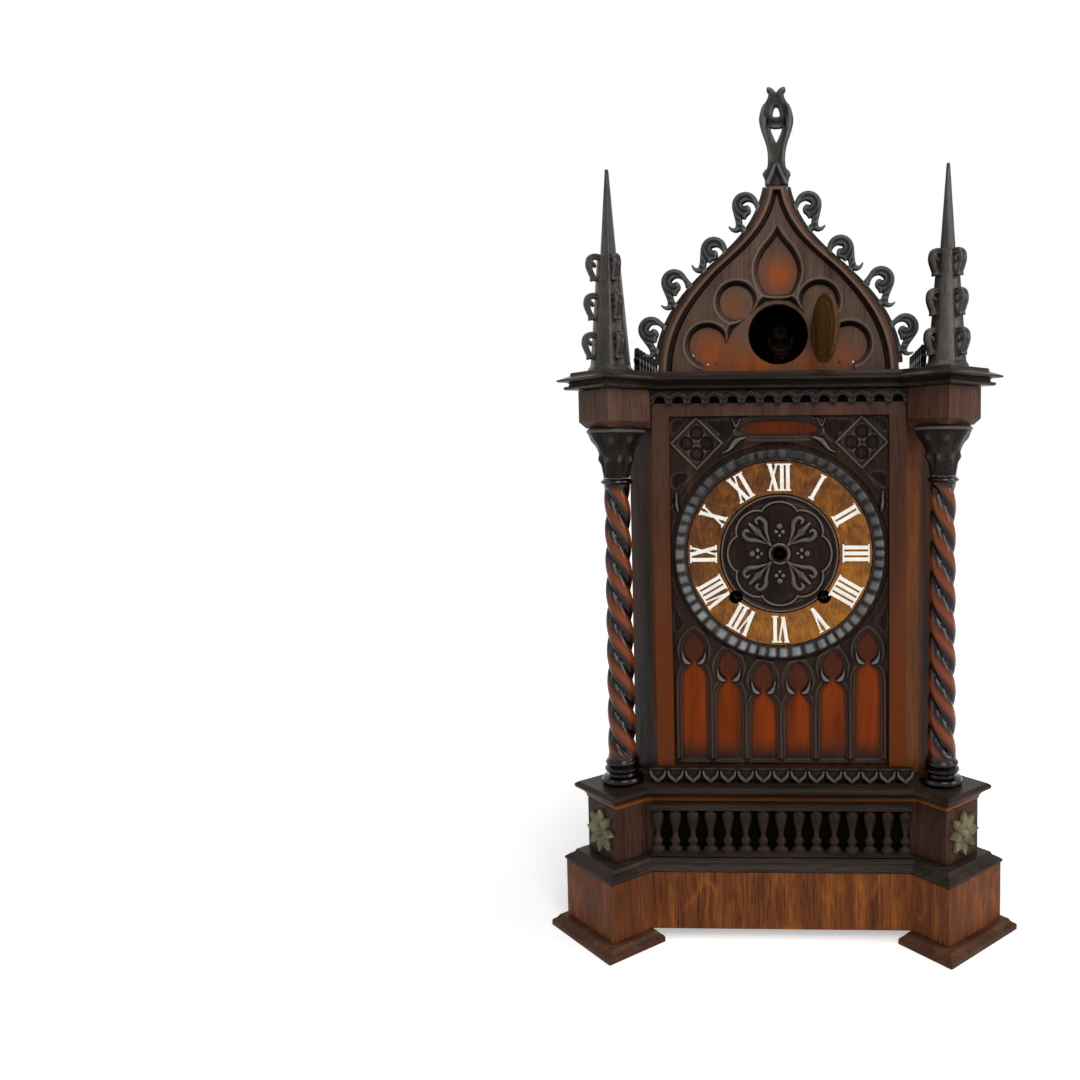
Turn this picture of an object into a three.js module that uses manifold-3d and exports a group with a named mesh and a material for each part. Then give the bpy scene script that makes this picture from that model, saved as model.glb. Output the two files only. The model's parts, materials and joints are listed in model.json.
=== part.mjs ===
// Gothic mantel cuckoo clock: a carved wooden case on a stepped base, twisted corner columns,
// an ogee gable with a round bird doorway, and a two-train movement behind the dial.
// Millimetres, +Z up, the front faces -Y, the origin is at the bottom centre of the whole clock.
import * as THREE from 'three';
import { mergeVertices } from 'three/addons/utils/BufferGeometryUtils.js';
import loadSolids from 'manifold-3d';

const solidKit = await loadSolids();
solidKit.setup();

// Clearance between neighbouring pieces
const GAP = 0.3;

// Dial, which sets the width of the case front
const BEZEL_OUTER = 87.5;
const BEZEL_WIDTH = 10.9;
const CHAPTER_WIDTH = 26.8;
const HAND_HOLE = 5.8;
const WINDING_HOLE = 5.8;
const WINDING_X = 36.5;
const WINDING_DROP = 36;
const BEZEL_INNER = BEZEL_OUTER - BEZEL_WIDTH;
const CHAPTER_OUTER = BEZEL_INNER - GAP;
const CHAPTER_INNER = CHAPTER_OUTER - CHAPTER_WIDTH;
const CENTRE_RADIUS = CHAPTER_INNER - GAP;

// Widths of the case, counted outward from the dial
const PANEL_MARGIN = 2.5;
const STILE_WIDTH = 14;
const COLUMN_OFFSET = 29;
const BODY_OFFSET = 16;
const FLANK = 10;
const WALL = 8;
const PANEL_HALF = BEZEL_OUTER + PANEL_MARGIN;
const FRAME_HALF = PANEL_HALF + STILE_WIDTH;
const COLUMN_X = FRAME_HALF + COLUMN_OFFSET;
const BODY_SIDE_X = FRAME_HALF + BODY_OFFSET;

// Depths, counted backward from the columns
const FRAME_SETBACK = 2;
const FRAME_DEPTH = 12;
const PANEL_SETBACK = 7;
const PANEL_DEPTH = 6.7;
const CARVING_DEPTH = 2.6;
const GABLE_SETBACK = 4;
const TRACERY_DEPTH = 6;
const BOARD_DEPTH = 6;
const MOVEMENT_SETBACK = 27;
const PLATE_SPACING = 50;
const PLATE_DEPTH = 2;
const GONG_SETBACK = 32;
const DOOR_CLEARANCE = 24;
const DOOR_DEPTH = 8;
const BACK_OVERHANG = 9;
const FOOT_DIAGONAL = 64;
const REAR_DEPTH = GONG_SETBACK + DOOR_CLEARANCE + DOOR_DEPTH + BACK_OVERHANG;
const CASE_DEPTH = MOVEMENT_SETBACK + PLATE_SPACING + REAR_DEPTH;
const COLUMN_Y = (FOOT_DIAGONAL - CASE_DEPTH) / 2;
const FRAME_FRONT = COLUMN_Y + FRAME_SETBACK;
const FRAME_BACK = FRAME_FRONT + FRAME_DEPTH;
const PANEL_FRONT = COLUMN_Y + PANEL_SETBACK;
const PANEL_BACK = PANEL_FRONT + PANEL_DEPTH;
const GABLE_FRONT = COLUMN_Y + GABLE_SETBACK;
const BOARD_FRONT = GABLE_FRONT + TRACERY_DEPTH + GAP;
const BOARD_BACK = BOARD_FRONT + BOARD_DEPTH;
const FRONT_PLATE_Y = COLUMN_Y + MOVEMENT_SETBACK;
const BACK_PLATE_Y = FRONT_PLATE_Y + PLATE_SPACING;
const GONG_Y = BACK_PLATE_Y + GONG_SETBACK;
const BODY_BACK_Y = GONG_Y + DOOR_CLEARANCE + DOOR_DEPTH;
const BACK_Y = BODY_BACK_Y + BACK_OVERHANG;

// Heights of the storeys, from the floor up
const FOOT_HEIGHT = 9.5;
const PLINTH_HEIGHT = 48.2;
const MOULDING_HEIGHT = 9.3;
const PEDESTAL_HEIGHT = 45;
const LEDGE_HEIGHT = 13.5;
const COLUMN_BASE_HEIGHT = 22.5;
const SHAFT_HEIGHT = 232;
const CAPITAL_HEIGHT = 40.7;
const BLOCK_HEIGHT = 30.8;
const CORNICE_HEIGHT = 14.5;
const SPIRE_HEIGHT = 160.7;
const GABLE_RISE = 145.7;
const FINIAL_HEIGHT = 77.7;
const PLINTH_TOP = FOOT_HEIGHT + PLINTH_HEIGHT;
const MOULDING_TOP = PLINTH_TOP + MOULDING_HEIGHT;
const PEDESTAL_TOP = MOULDING_TOP + PEDESTAL_HEIGHT;
const LEDGE_TOP = PEDESTAL_TOP + LEDGE_HEIGHT;
const SHAFT_BOTTOM = LEDGE_TOP + COLUMN_BASE_HEIGHT;
const SHAFT_TOP = SHAFT_BOTTOM + SHAFT_HEIGHT;
const CAPITAL_TOP = SHAFT_TOP + CAPITAL_HEIGHT;
const BLOCK_TOP = CAPITAL_TOP + BLOCK_HEIGHT;
const CORNICE_TOP = BLOCK_TOP + CORNICE_HEIGHT;
const EAVES = CORNICE_TOP + GAP;
const GABLE_TOP = EAVES + GABLE_RISE;

// Each storey: half-diagonal of its turned corner blocks, its front from the columns, half its width behind
const PLINTH = { diagonal: 50, front: -23.3, side: BODY_SIDE_X + 8 };
const PEDESTAL = { diagonal: 30.5, front: -9, side: BODY_SIDE_X + 1.5 };
const BLOCK = { diagonal: 30.5, front: 1, side: BODY_SIDE_X + 1 };

// Feet, base and pedestals
const FOOT_SHORT = 38;
const REAR_FOOT_WIDTH = 36;
const REAR_FOOT_DEPTH = 35;
const PLINTH_WALL = 12;
const PLINTH_SIDE_WALL = 20;
const PLINTH_LID = 8;
const PEDESTAL_WALL = 10;
const PEDESTAL_SIDE_WALL = 15.5;
const BALUSTRADE_DEPTH = 7.6;
const BALUSTER_COUNT = 15;
const BALUSTER_RADIUS = 3.4;
const ROSETTE_RADIUS = 19;
const DAGGER_COUNT = 15;
const ARCH_COUNT = 14;
const ARCH_BAND_HEIGHT = 11.4;
const ARCH_RISE = 6.4;
const ARCH_TOOTH = 6.4;

// Columns
const SHAFT_RADIUS = 10.4;
const SHAFT_TAPER = 1.2;
const SHAFT_TURNS = 4.6;

// Panel and dial heights
const BOTTOM_RAIL = 11.5;
const TOP_RAIL = 21.5;
const DIAL_RISE = 180;
const PANEL_BOTTOM = LEDGE_TOP + BOTTOM_RAIL;
const PANEL_TOP = BLOCK_TOP - TOP_RAIL;
const DIAL_Z = PANEL_BOTTOM + DIAL_RISE;
const WINDING_Z = DIAL_Z - WINDING_DROP;

// Gable and bird doorway
const GABLE_INSET = 6.5;
const HOOD_WIDTH = 10.4;
const ROOF_WALL = 5.6;
const ROOF_BACK_WALL = 5;
const SIDE_FOIL = 17.4;
const LOW_FOIL = 18.6;
const FINIAL_HALF = 13.8;
const FINIAL_DEPTH = 11;
const SPIRE_TURN = -10;
const SPIRE_SHOULDER = 92;
const HOOK_DEPTH = 6.4;
const HOOK_LEVELS = 3;
const DOORWAY_RISE = 30.2;
const DOORWAY_RADIUS = 24.5;
const BIRD_DOOR_LAP = 2.2;
const BIRD_DOOR_DEPTH = 3.4;
const BIRD_DOOR_OPEN = 110;
const BIRD_DOOR_PIN = 0.9;
const GABLE_HALF = FRAME_HALF - GABLE_INSET;
const DOORWAY_Z = EAVES + DOORWAY_RISE;
const BIRD_DOOR_RADIUS = DOORWAY_RADIUS + BIRD_DOOR_LAP;
const BIRD_DOOR_HINGE_X = BIRD_DOOR_RADIUS + 2;
const BIRD_DOOR_HINGE_Y = BOARD_FRONT - 3;
const ROOF_BACK = BODY_BACK_Y - 2;

// Control points of the gable's ogee on the right, as shares of its half-width and rise, and how far
// each one moves in and down for a millimetre of inset
const OGEE = [
  { across: 1, up: 0, inward: 1, down: 0 },
  { across: 0.985, up: 0.266, inward: 0.943, down: 0.472 },
  { across: 0.769, up: 0.423, inward: 0.472, down: 0.66 },
  { across: 0.542, up: 0.568, inward: 0.509, down: 0.377 },
  { across: 0.359, up: 0.677, inward: 0.66, down: 0.283 },
  { across: 0.144, up: 0.78, inward: 0.755, down: 0.189 },
  { across: 0.082, up: 1, inward: 0.717, down: 0.472 },
];

// Movement
const SHELF_DROP = 84;
const SHELF_THICKNESS = 9;
const ARBOR_RADIUS = 1.6;
const WINDING_ARBOR_RADIUS = 3;
const GREAT_TEETH = 48;
const CENTRE_LEAVES = 12;
const CENTRE_TEETH = 40;
const THIRD_LEAVES = 8;
const THIRD_TEETH = 36;
const ESCAPE_LEAVES = 8;
const ESCAPE_TEETH = 30;
const ESCAPE_RADIUS = 15;
const CENTRE_MODULE = 1.05;
const THIRD_MODULE = 1;
const ADDENDUM = 0.75;
const DRUM_CLEARANCE = 2.48;
const PIN_CLEARANCE = 1.08;
const PIN_RADIUS = 1;
const PENDULUM_LENGTH = 174.2;
const PENDULUM_SETBACK = 8;
const BOB_RADIUS = 20;
const KEY_DEPTH = 5;
const CRUTCH_LENGTH = 52;
const GONG_X = 18;
const GONG_RISE = 47.5;
const GONG_RADIUS = 34;
const GONG_WIRE = 1.4;
const HAMMER_STANDOFF = 20;
const HAMMER_RISE = 18;
const HAMMER_EDGE = 12;
const SHELF_TOP = DIAL_Z - SHELF_DROP;
const GREAT_CENTRES = Math.hypot(WINDING_X, WINDING_DROP);
const GREAT_MODULE = 2 * GREAT_CENTRES / (GREAT_TEETH + CENTRE_LEAVES);
const CENTRE_TIP = CENTRE_MODULE * (CENTRE_TEETH / 2 + ADDENDUM);
const THIRD_TIP = THIRD_MODULE * (THIRD_TEETH / 2 + ADDENDUM);
const THIRD_Z = DIAL_Z + CENTRE_MODULE * (CENTRE_TEETH + THIRD_LEAVES) / 2;
const ESCAPE_Z = THIRD_Z + THIRD_MODULE * (THIRD_TEETH + ESCAPE_LEAVES) / 2;
const VERGE_Z = ESCAPE_Z + ESCAPE_RADIUS + 7;
const STRIKE_Z = WINDING_Z + GREAT_CENTRES;
const DRUM_RADIUS = GREAT_CENTRES - CENTRE_TIP - DRUM_CLEARANCE;
const PIN_CIRCLE = Math.hypot(WINDING_X, STRIKE_Z - THIRD_Z) - THIRD_TIP - PIN_RADIUS - PIN_CLEARANCE;
const PENDULUM_Y = BACK_PLATE_Y + PLATE_DEPTH + PENDULUM_SETBACK;
const BOB_Z = VERGE_Z - PENDULUM_LENGTH;
const HAMMER_X = GONG_X + GONG_RADIUS + HAMMER_STANDOFF;
const HAMMER_Z = DIAL_Z + HAMMER_RISE;
const PLATE_HALF = HAMMER_X + HAMMER_EDGE;

// Back door
const FLOOR_DEPTH = 9;
const DOOR_HEAD = 6.5;
const HINGE_INSET = 55;
const HINGE_PIN = 1.4;
const HINGE_BARREL = 2.6;
const DOOR_BOTTOM = LEDGE_TOP + FLOOR_DEPTH;
const DOOR_TOP = BLOCK_TOP - DOOR_HEAD;
const DOOR_HINGE_X = 6 - BODY_SIDE_X;
const DOOR_HINGE_Y = BODY_BACK_Y + 2.9;
const DOOR_HINGES = [DOOR_BOTTOM + HINGE_INSET, DOOR_TOP - HINGE_INSET];
const GONG_Z = DOOR_BOTTOM + GONG_RISE;

// Bird and bellows
const BIRD_SETBACK = 65.7;
const BIRD_GIRTH = 11;
const BIRD_LENGTH = 23;
const CARRIAGE_LENGTH = 18;
const RAIL_HEIGHT = 4;
const PIPE_WIDTH = 24;
const PIPE_DEPTH = 26;
const PIPE_HEIGHT = 105;
const PIPE_WALL = 4;
const PIPE_DROP = 46.5;
const BELLOWS_WIDTH = 30;
const BELLOWS_BOARD = 4;
const BIRD_Y = BOARD_BACK + BIRD_SETBACK;
const PIPE_TOP = BLOCK_TOP - PIPE_DROP;

const wood = (name) => new THREE.MeshStandardMaterial({ name, color: 0x4a2d1a, roughness: 0.6 });
const brass = new THREE.MeshStandardMaterial({ name: 'brass', color: 0xb08d4a, metalness: 1 });
const steel = new THREE.MeshStandardMaterial({ name: 'steel', color: 0x8f9296, metalness: 1 });
const darkWood = wood('dark_oak');
const paleWood = new THREE.MeshStandardMaterial({ name: 'pale_wood', color: 0xb08a5c, roughness: 0.7 });
const gilt = new THREE.MeshStandardMaterial({ name: 'gilt', color: 0x8a7a42, metalness: 0.6 });

const clock = new THREE.Group();
clock.name = 'cuckoo_clock';

// Solids from three.js geometry and back
function toSolid(geometry) {
  const bare = new THREE.BufferGeometry();
  bare.setAttribute('position', geometry.getAttribute('position'));
  if (geometry.index) bare.setIndex(geometry.index);
  const joined = mergeVertices(bare, 1e-4);
  const place = joined.getAttribute('position').array;
  const corners = [];
  const index = joined.index.array;
  let volume = 0;
  const [a, b, c] = [new THREE.Vector3(), new THREE.Vector3(), new THREE.Vector3()];
  for (let i = 0; i < index.length; i += 3) {
    const [p, q, r] = [index[i], index[i + 1], index[i + 2]];
    if (p === q || q === r || r === p) continue;
    corners.push(p, q, r);
    volume += a.fromArray(place, 3 * p).dot(b.fromArray(place, 3 * q).cross(c.fromArray(place, 3 * r)));
  }
  if (volume < 0) corners.reverse();
  const mesh = new solidKit.Mesh({
    numProp: 3,
    vertProperties: new Float32Array(place),
    triVerts: new Uint32Array(corners),
  });
  mesh.merge();
  return new solidKit.Manifold(mesh);
}

function toGeometry(solid) {
  const mesh = solid.getMesh();
  const geometry = new THREE.BufferGeometry();
  geometry.setAttribute('position', new THREE.BufferAttribute(new Float32Array(mesh.vertProperties), 3));
  geometry.setIndex(new THREE.BufferAttribute(new Uint32Array(mesh.triVerts), 1));
  geometry.computeVertexNormals();
  return geometry;
}

function piece(name, solid, material = darkWood) {
  const mesh = new THREE.Mesh(toGeometry(solid), material);
  mesh.name = name;
  clock.add(mesh);
}

function fuse(solids) {
  return solids.reduce((whole, next) => whole.add(next));
}

function carve(whole, cuts) {
  return cuts.reduce((left, cut) => left.subtract(cut), whole);
}

// Basic shapes
function box(x0, x1, y0, y1, z0, z1) {
  const block = new THREE.BoxGeometry(x1 - x0, y1 - y0, z1 - z0);
  return toSolid(block.translate((x0 + x1) / 2, (y0 + y1) / 2, (z0 + z1) / 2));
}

function flatShape(points) {
  return new THREE.Shape(points.map(([u, v]) => new THREE.Vector2(u, v)));
}

// A plan outline raised from z0 to z1
function prismUp(points, z0, z1) {
  const raised = new THREE.ExtrudeGeometry(flatShape(points), { depth: z1 - z0, bevelEnabled: false });
  return toSolid(raised.translate(0, 0, z0));
}

// A front outline in x and z carried back from y0 to y1
function prismBack(points, y0, y1) {
  const raised = new THREE.ExtrudeGeometry(flatShape(points), { depth: y1 - y0, bevelEnabled: false });
  return toSolid(raised.rotateX(Math.PI / 2).translate(0, y1, 0));
}

// A side outline in y and z carried from x0 to x1
function prismSide(points, x0, x1) {
  const raised = new THREE.ExtrudeGeometry(flatShape(points), { depth: x1 - x0, bevelEnabled: false });
  return toSolid(raised.rotateX(Math.PI / 2).rotateZ(Math.PI / 2).translate(x0, 0, 0));
}

// A profile of radius and height turned about an upright axis
function turnedUp(profile, x, y, sides) {
  const points = profile.map(([r, z]) => new THREE.Vector2(r, z));
  const turned = new THREE.LatheGeometry(points, sides);
  return toSolid(turned.rotateX(Math.PI / 2).translate(x, y, 0));
}

// A profile of radius and depth turned about an axis that runs front to back
function turnedBack(profile, x, z, sides) {
  const points = profile.map(([r, y]) => new THREE.Vector2(r, y));
  const turned = new THREE.LatheGeometry(points, sides);
  return toSolid(turned.translate(x, 0, z));
}

function rod(x, z, radius, y0, y1, sides = 10) {
  return turnedBack([[0, y0], [radius, y0], [radius, y1], [0, y1]], x, z, sides);
}

function post(x, y, radius, z0, z1, sides = 10) {
  return turnedUp([[0, z0], [radius, z0], [radius, z1], [0, z1]], x, y, sides);
}

function ring(x, z, inner, outer, y0, y1, sides) {
  return turnedBack([[inner, y0], [outer, y0], [outer, y1], [inner, y1], [inner, y0]], x, z, sides);
}

// Rings of points stacked from the bottom up, closed at both ends
function stack(rings) {
  const count = rings[0].length;
  const corners = [];
  const push = (...points) => points.forEach((p) => corners.push(p.x, p.y, p.z));
  for (let level = 0; level + 1 < rings.length; level += 1) {
    for (let i = 0; i < count; i += 1) {
      const j = (i + 1) % count;
      const [low, high] = [rings[level], rings[level + 1]];
      push(low[i], low[j], high[j]);
      push(low[i], high[j], high[i]);
    }
  }
  for (const [end, turn] of [[rings[0], true], [rings[rings.length - 1], false]]) {
    const flat = end.map((p) => new THREE.Vector2(p.x, p.y));
    for (const [i, j, k] of THREE.ShapeUtils.triangulateShape(flat, [])) {
      if (turn) push(end[i], end[k], end[j]);
      else push(end[i], end[j], end[k]);
    }
  }
  const geometry = new THREE.BufferGeometry();
  geometry.setAttribute('position', new THREE.Float32BufferAttribute(corners, 3));
  return toSolid(geometry);
}

const mirrorX = (solid) => solid.mirror([1, 0, 0]);

// Mirrors a left-hand piece to make the right-hand one
function pair(name, solid, material = darkWood) {
  piece(`${name}_left`, solid, material);
  piece(`${name}_right`, mirrorX(solid), material);
}

// Plan of one storey: a straight front between two corner blocks turned by 45 degrees
function storeyPlan({ diagonal, front, side }, back = BACK_Y) {
  const left = [
    [-side, back],
    [-side, COLUMN_Y + COLUMN_X + diagonal - side],
    [-COLUMN_X - diagonal, COLUMN_Y],
    [-COLUMN_X, COLUMN_Y - diagonal],
    [-COLUMN_X + diagonal + front, COLUMN_Y + front],
  ];
  return [...left, ...left.map(([x, y]) => [-x, y]).reverse()];
}

// Moves every side of a plan outward, but for the last, which is the flush back
function grownPlan(plan, offset) {
  const lines = plan.map((from, i) => {
    const to = plan[(i + 1) % plan.length];
    const along = new THREE.Vector2(to[0] - from[0], to[1] - from[1]).normalize();
    const out = new THREE.Vector2(along.y, -along.x);
    const step = i === plan.length - 1 ? 0 : offset;
    return { at: new THREE.Vector2(from[0], from[1]).addScaledVector(out, step), along };
  });
  return lines.map((line, i) => {
    const before = lines[(i + lines.length - 1) % lines.length];
    const turn = before.along.cross(line.along);
    const reach = line.at.clone().sub(before.at).cross(line.along) / turn;
    const corner = before.at.clone().addScaledVector(before.along, reach);
    return [corner.x, corner.y];
  });
}

// A board whose edge follows a moulding profile of offset and height
function mouldedBoard(plan, profile) {
  const level = ([offset, z]) => grownPlan(plan, offset).map(([x, y]) => new THREE.Vector3(x, y, z));
  return stack(profile.map(level));
}

// Feet and base
function addBase() {
  const corner = [-COLUMN_X, COLUMN_Y - FOOT_DIAGONAL];
  const footPlan = [
    corner,
    [corner[0] + FOOT_SHORT, corner[1] + FOOT_SHORT],
    [corner[0] + FOOT_SHORT - FOOT_DIAGONAL, corner[1] + FOOT_SHORT + FOOT_DIAGONAL],
    [corner[0] - FOOT_DIAGONAL, corner[1] + FOOT_DIAGONAL],
  ];
  const shrink = (amount) => {
    const turned = amount * Math.SQRT2;
    const moves = [[0, turned], [-turned, 0], [0, -turned], [turned, 0]];
    return footPlan.map(([x, y], i) => new THREE.Vector3(x + moves[i][0], y + moves[i][1], 0));
  };
  const footLevels = [[0, 0], [0, FOOT_HEIGHT - 5], [3, FOOT_HEIGHT - 3], [5, FOOT_HEIGHT]];
  pair('foot_front', stack(footLevels.map(([inset, z]) => shrink(inset).map((p) => p.setZ(z)))));
  const outer = 4 - PLINTH.side;
  pair('foot_rear', box(outer, outer + REAR_FOOT_WIDTH, BACK_Y - REAR_FOOT_DEPTH, BACK_Y, 0, FOOT_HEIGHT));

  const plinthPlan = storeyPlan(PLINTH);
  const plinth = prismUp(plinthPlan, FOOT_HEIGHT + GAP, PLINTH_TOP);
  const hollow = box(
    PLINTH_SIDE_WALL - PLINTH.side, PLINTH.side - PLINTH_SIDE_WALL,
    COLUMN_Y + PLINTH.front + PLINTH_WALL, BACK_Y - PLINTH_WALL, 0, PLINTH_TOP - PLINTH_LID,
  );
  piece('base_plinth', plinth.subtract(hollow), wood('oak'));
  const z = PLINTH_TOP + GAP;
  piece('base_moulding', mouldedBoard(plinthPlan, [
    [0, z], [1.2, z + 1], [1.2, z + 2.6], [-2.5, z + 5.2], [-5, z + 6.4], [-6, MOULDING_TOP],
  ]));
}

// Pedestal storey with its balustrade, rosettes and ledge
function addPedestals() {
  const plan = storeyPlan(PEDESTAL);
  const bottom = MOULDING_TOP + GAP;
  const walls = prismUp(plan, bottom, PEDESTAL_TOP);
  const inside = box(
    PEDESTAL_SIDE_WALL - PEDESTAL.side, PEDESTAL.side - PEDESTAL_SIDE_WALL,
    COLUMN_Y + PEDESTAL.front + PEDESTAL_WALL, BACK_Y - PEDESTAL_WALL, bottom - 1, PEDESTAL_TOP + 1,
  );
  piece('pedestal_stage', walls.subtract(inside));
  const ledge = PEDESTAL_TOP + GAP;
  piece('pedestal_ledge', mouldedBoard(plan, [
    [0.4, ledge], [1, ledge + 3], [3.4, ledge + 6.6], [7.4, ledge + 8.6], [8, ledge + 9.4],
    [8, LEDGE_TOP - 1.8], [5.4, LEDGE_TOP],
  ]));

  const front = COLUMN_Y + PEDESTAL.front - GAP;
  const reach = COLUMN_X - PEDESTAL.diagonal - PEDESTAL.front - BALUSTER_RADIUS;
  const rail = (z0, z1) => box(-reach, reach, front - BALUSTRADE_DEPTH, front, z0, z1);
  const balusterFoot = bottom + 2.7;
  const balusterHeight = PEDESTAL_TOP - 4 - balusterFoot;
  const vase = [[0, 0], [1, 0], [0.47, 0.13], [0.97, 0.24], [0.5, 0.34], [1, 0.71], [0.76, 1], [0, 1]];
  const turned = vase.map(([r, share]) => [r * BALUSTER_RADIUS, balusterFoot + share * balusterHeight]);
  const balusters = [];
  const pitch = 2 * (reach - BALUSTER_RADIUS) / (BALUSTER_COUNT - 1);
  for (let i = 0; i < BALUSTER_COUNT; i += 1) {
    const x = (i - (BALUSTER_COUNT - 1) / 2) * pitch;
    balusters.push(turnedUp(turned, x, front - BALUSTRADE_DEPTH / 2, 5));
  }
  piece('balustrade', fuse([rail(bottom, bottom + 4), rail(PEDESTAL_TOP - 5.5, PEDESTAL_TOP), ...balusters]));

  const petals = 8;
  const star = [];
  for (let i = 0; i < 2 * petals; i += 1) {
    const angle = Math.PI * i / petals;
    const radius = i % 2 ? ROSETTE_RADIUS / 3 : ROSETTE_RADIUS;
    star.push([radius * Math.cos(angle), radius * Math.sin(angle)]);
  }
  const eye = turnedBack([[0, -4.6], [3.4, -4], [4.4, -1], [0, -1]], 0, 0, 8);
  const flower = prismBack(star, -3, 0).add(eye).rotate([0, 0, -45]);
  const out = GAP / Math.SQRT2;
  const faceX = -COLUMN_X - PEDESTAL.diagonal / 2 - out;
  const faceY = COLUMN_Y - PEDESTAL.diagonal / 2 - out;
  pair('rosette', flower.translate([faceX, faceY, (MOULDING_TOP + PEDESTAL_TOP) / 2]), gilt);

  const top = PANEL_BOTTOM + 1.5;
  const half = FRAME_HALF + 6;
  const strip = box(-half, half, FRAME_FRONT - 7, FRAME_FRONT - GAP, top - 4.5, top);
  const drops = [];
  const dropPitch = 2 * half / DAGGER_COUNT;
  for (let i = 0; i < DAGGER_COUNT; i += 1) {
    const x = (i - (DAGGER_COUNT - 1) / 2) * dropPitch;
    const [wide, narrow] = [dropPitch / 2 - 0.7, dropPitch / 3];
    const leaf = [
      [x - wide, top - 2], [x - narrow, top - 6.5], [x, LEDGE_TOP + GAP],
      [x + narrow, top - 6.5], [x + wide, top - 2],
    ];
    drops.push(prismBack(leaf, FRAME_FRONT - 8.6, FRAME_FRONT - 3));
  }
  piece('dagger_trim', fuse([strip, ...drops]));
}

// Twisted columns with turned bases and leafy bell capitals
function addColumns() {
  const sides = 8;
  const rows = 32;
  const ribs = [1.6, 0.3, -1.4, 0.3];
  const x = -COLUMN_X;
  const rings = [];
  for (let row = 0; row <= rows; row += 1) {
    const share = row / rows;
    const z = SHAFT_BOTTOM - 1 + share * (SHAFT_HEIGHT - 3);
    const twist = 2 * Math.PI * SHAFT_TURNS * share;
    const points = [];
    for (let i = 0; i < sides; i += 1) {
      const angle = 2 * Math.PI * i / sides - twist;
      const radius = SHAFT_RADIUS - SHAFT_TAPER * share + ribs[i % ribs.length];
      points.push(new THREE.Vector3(x + radius * Math.cos(angle), COLUMN_Y + radius * Math.sin(angle), z));
    }
    rings.push(points);
  }
  const foot = LEDGE_TOP + GAP;
  const turning = [
    [6.4, 0], [7, 2], [6.4, 5], [2.6, 7], [1.6, 9.5], [4, 12.5], [2.2, 15], [3.2, 18.5],
  ].map(([proud, rise]) => [SHAFT_RADIUS + proud, foot + rise]);
  const base = turnedUp([
    [0, foot], ...turning, [SHAFT_RADIUS + 1.2, SHAFT_BOTTOM], [0, SHAFT_BOTTOM],
  ], x, COLUMN_Y, 12);
  const neckRadius = SHAFT_RADIUS - SHAFT_TAPER + 0.8;
  const neck = turnedUp([
    [0, SHAFT_TOP - 5], [neckRadius, SHAFT_TOP - 5], [neckRadius + 2.4, SHAFT_TOP - 3],
    [neckRadius + 2.4, SHAFT_TOP - 1.6], [neckRadius + 0.6, SHAFT_TOP], [0, SHAFT_TOP],
  ], x, COLUMN_Y, 12);
  const shaft = fuse([stack(rings), base, neck]);
  piece('column_left', shaft);
  piece('column_right', shaft.translate([2 * COLUMN_X, 0, 0]));

  const lobes = 16;
  const bellFoot = SHAFT_TOP + GAP;
  const bellTop = CAPITAL_TOP - 4.4;
  const bell = [[1, 0], [1.6, 1 / 6], [3.4, 4 / 9], [7, 0.75], [11.6, 0.93], [12.6, 1]];
  const bellRings = bell.map(([proud, share]) => {
    const radius = neckRadius + proud;
    const points = [];
    for (let i = 0; i < lobes; i += 1) {
      const angle = 2 * Math.PI * i / lobes;
      const reach = radius * (i % 2 ? 1.03 : 0.93);
      const z = bellFoot + share * (bellTop - bellFoot);
      points.push(new THREE.Vector3(x + reach * Math.cos(angle), COLUMN_Y + reach * Math.sin(angle), z));
    }
    return points;
  });
  const rim = neckRadius + 13.4;
  const disc = turnedUp([
    [0, bellTop - 1], [rim - 1, bellTop - 1], [rim, bellTop + 1], [rim - 0.6, CAPITAL_TOP], [0, CAPITAL_TOP],
  ], x, COLUMN_Y, 16);
  pair('capital', stack(bellRings).add(disc));
}

// The box of the case, its front frame and the corner blocks over the columns
function bodyPlan(grow) {
  const front = FRAME_BACK + GAP;
  const tip = BODY_SIDE_X + FLANK;
  const tipY = front + tip - FRAME_HALF;
  const bend = grow * (Math.SQRT2 - 1);
  const left = [
    [-BODY_SIDE_X - grow, BODY_BACK_Y],
    [-BODY_SIDE_X - grow, tipY + FLANK + bend],
    [-tip - grow * Math.SQRT2, tipY],
    [-FRAME_HALF - bend, front - grow],
  ];
  return [...left, ...left.map(([x, y]) => [-x, y]).reverse()];
}

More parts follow.
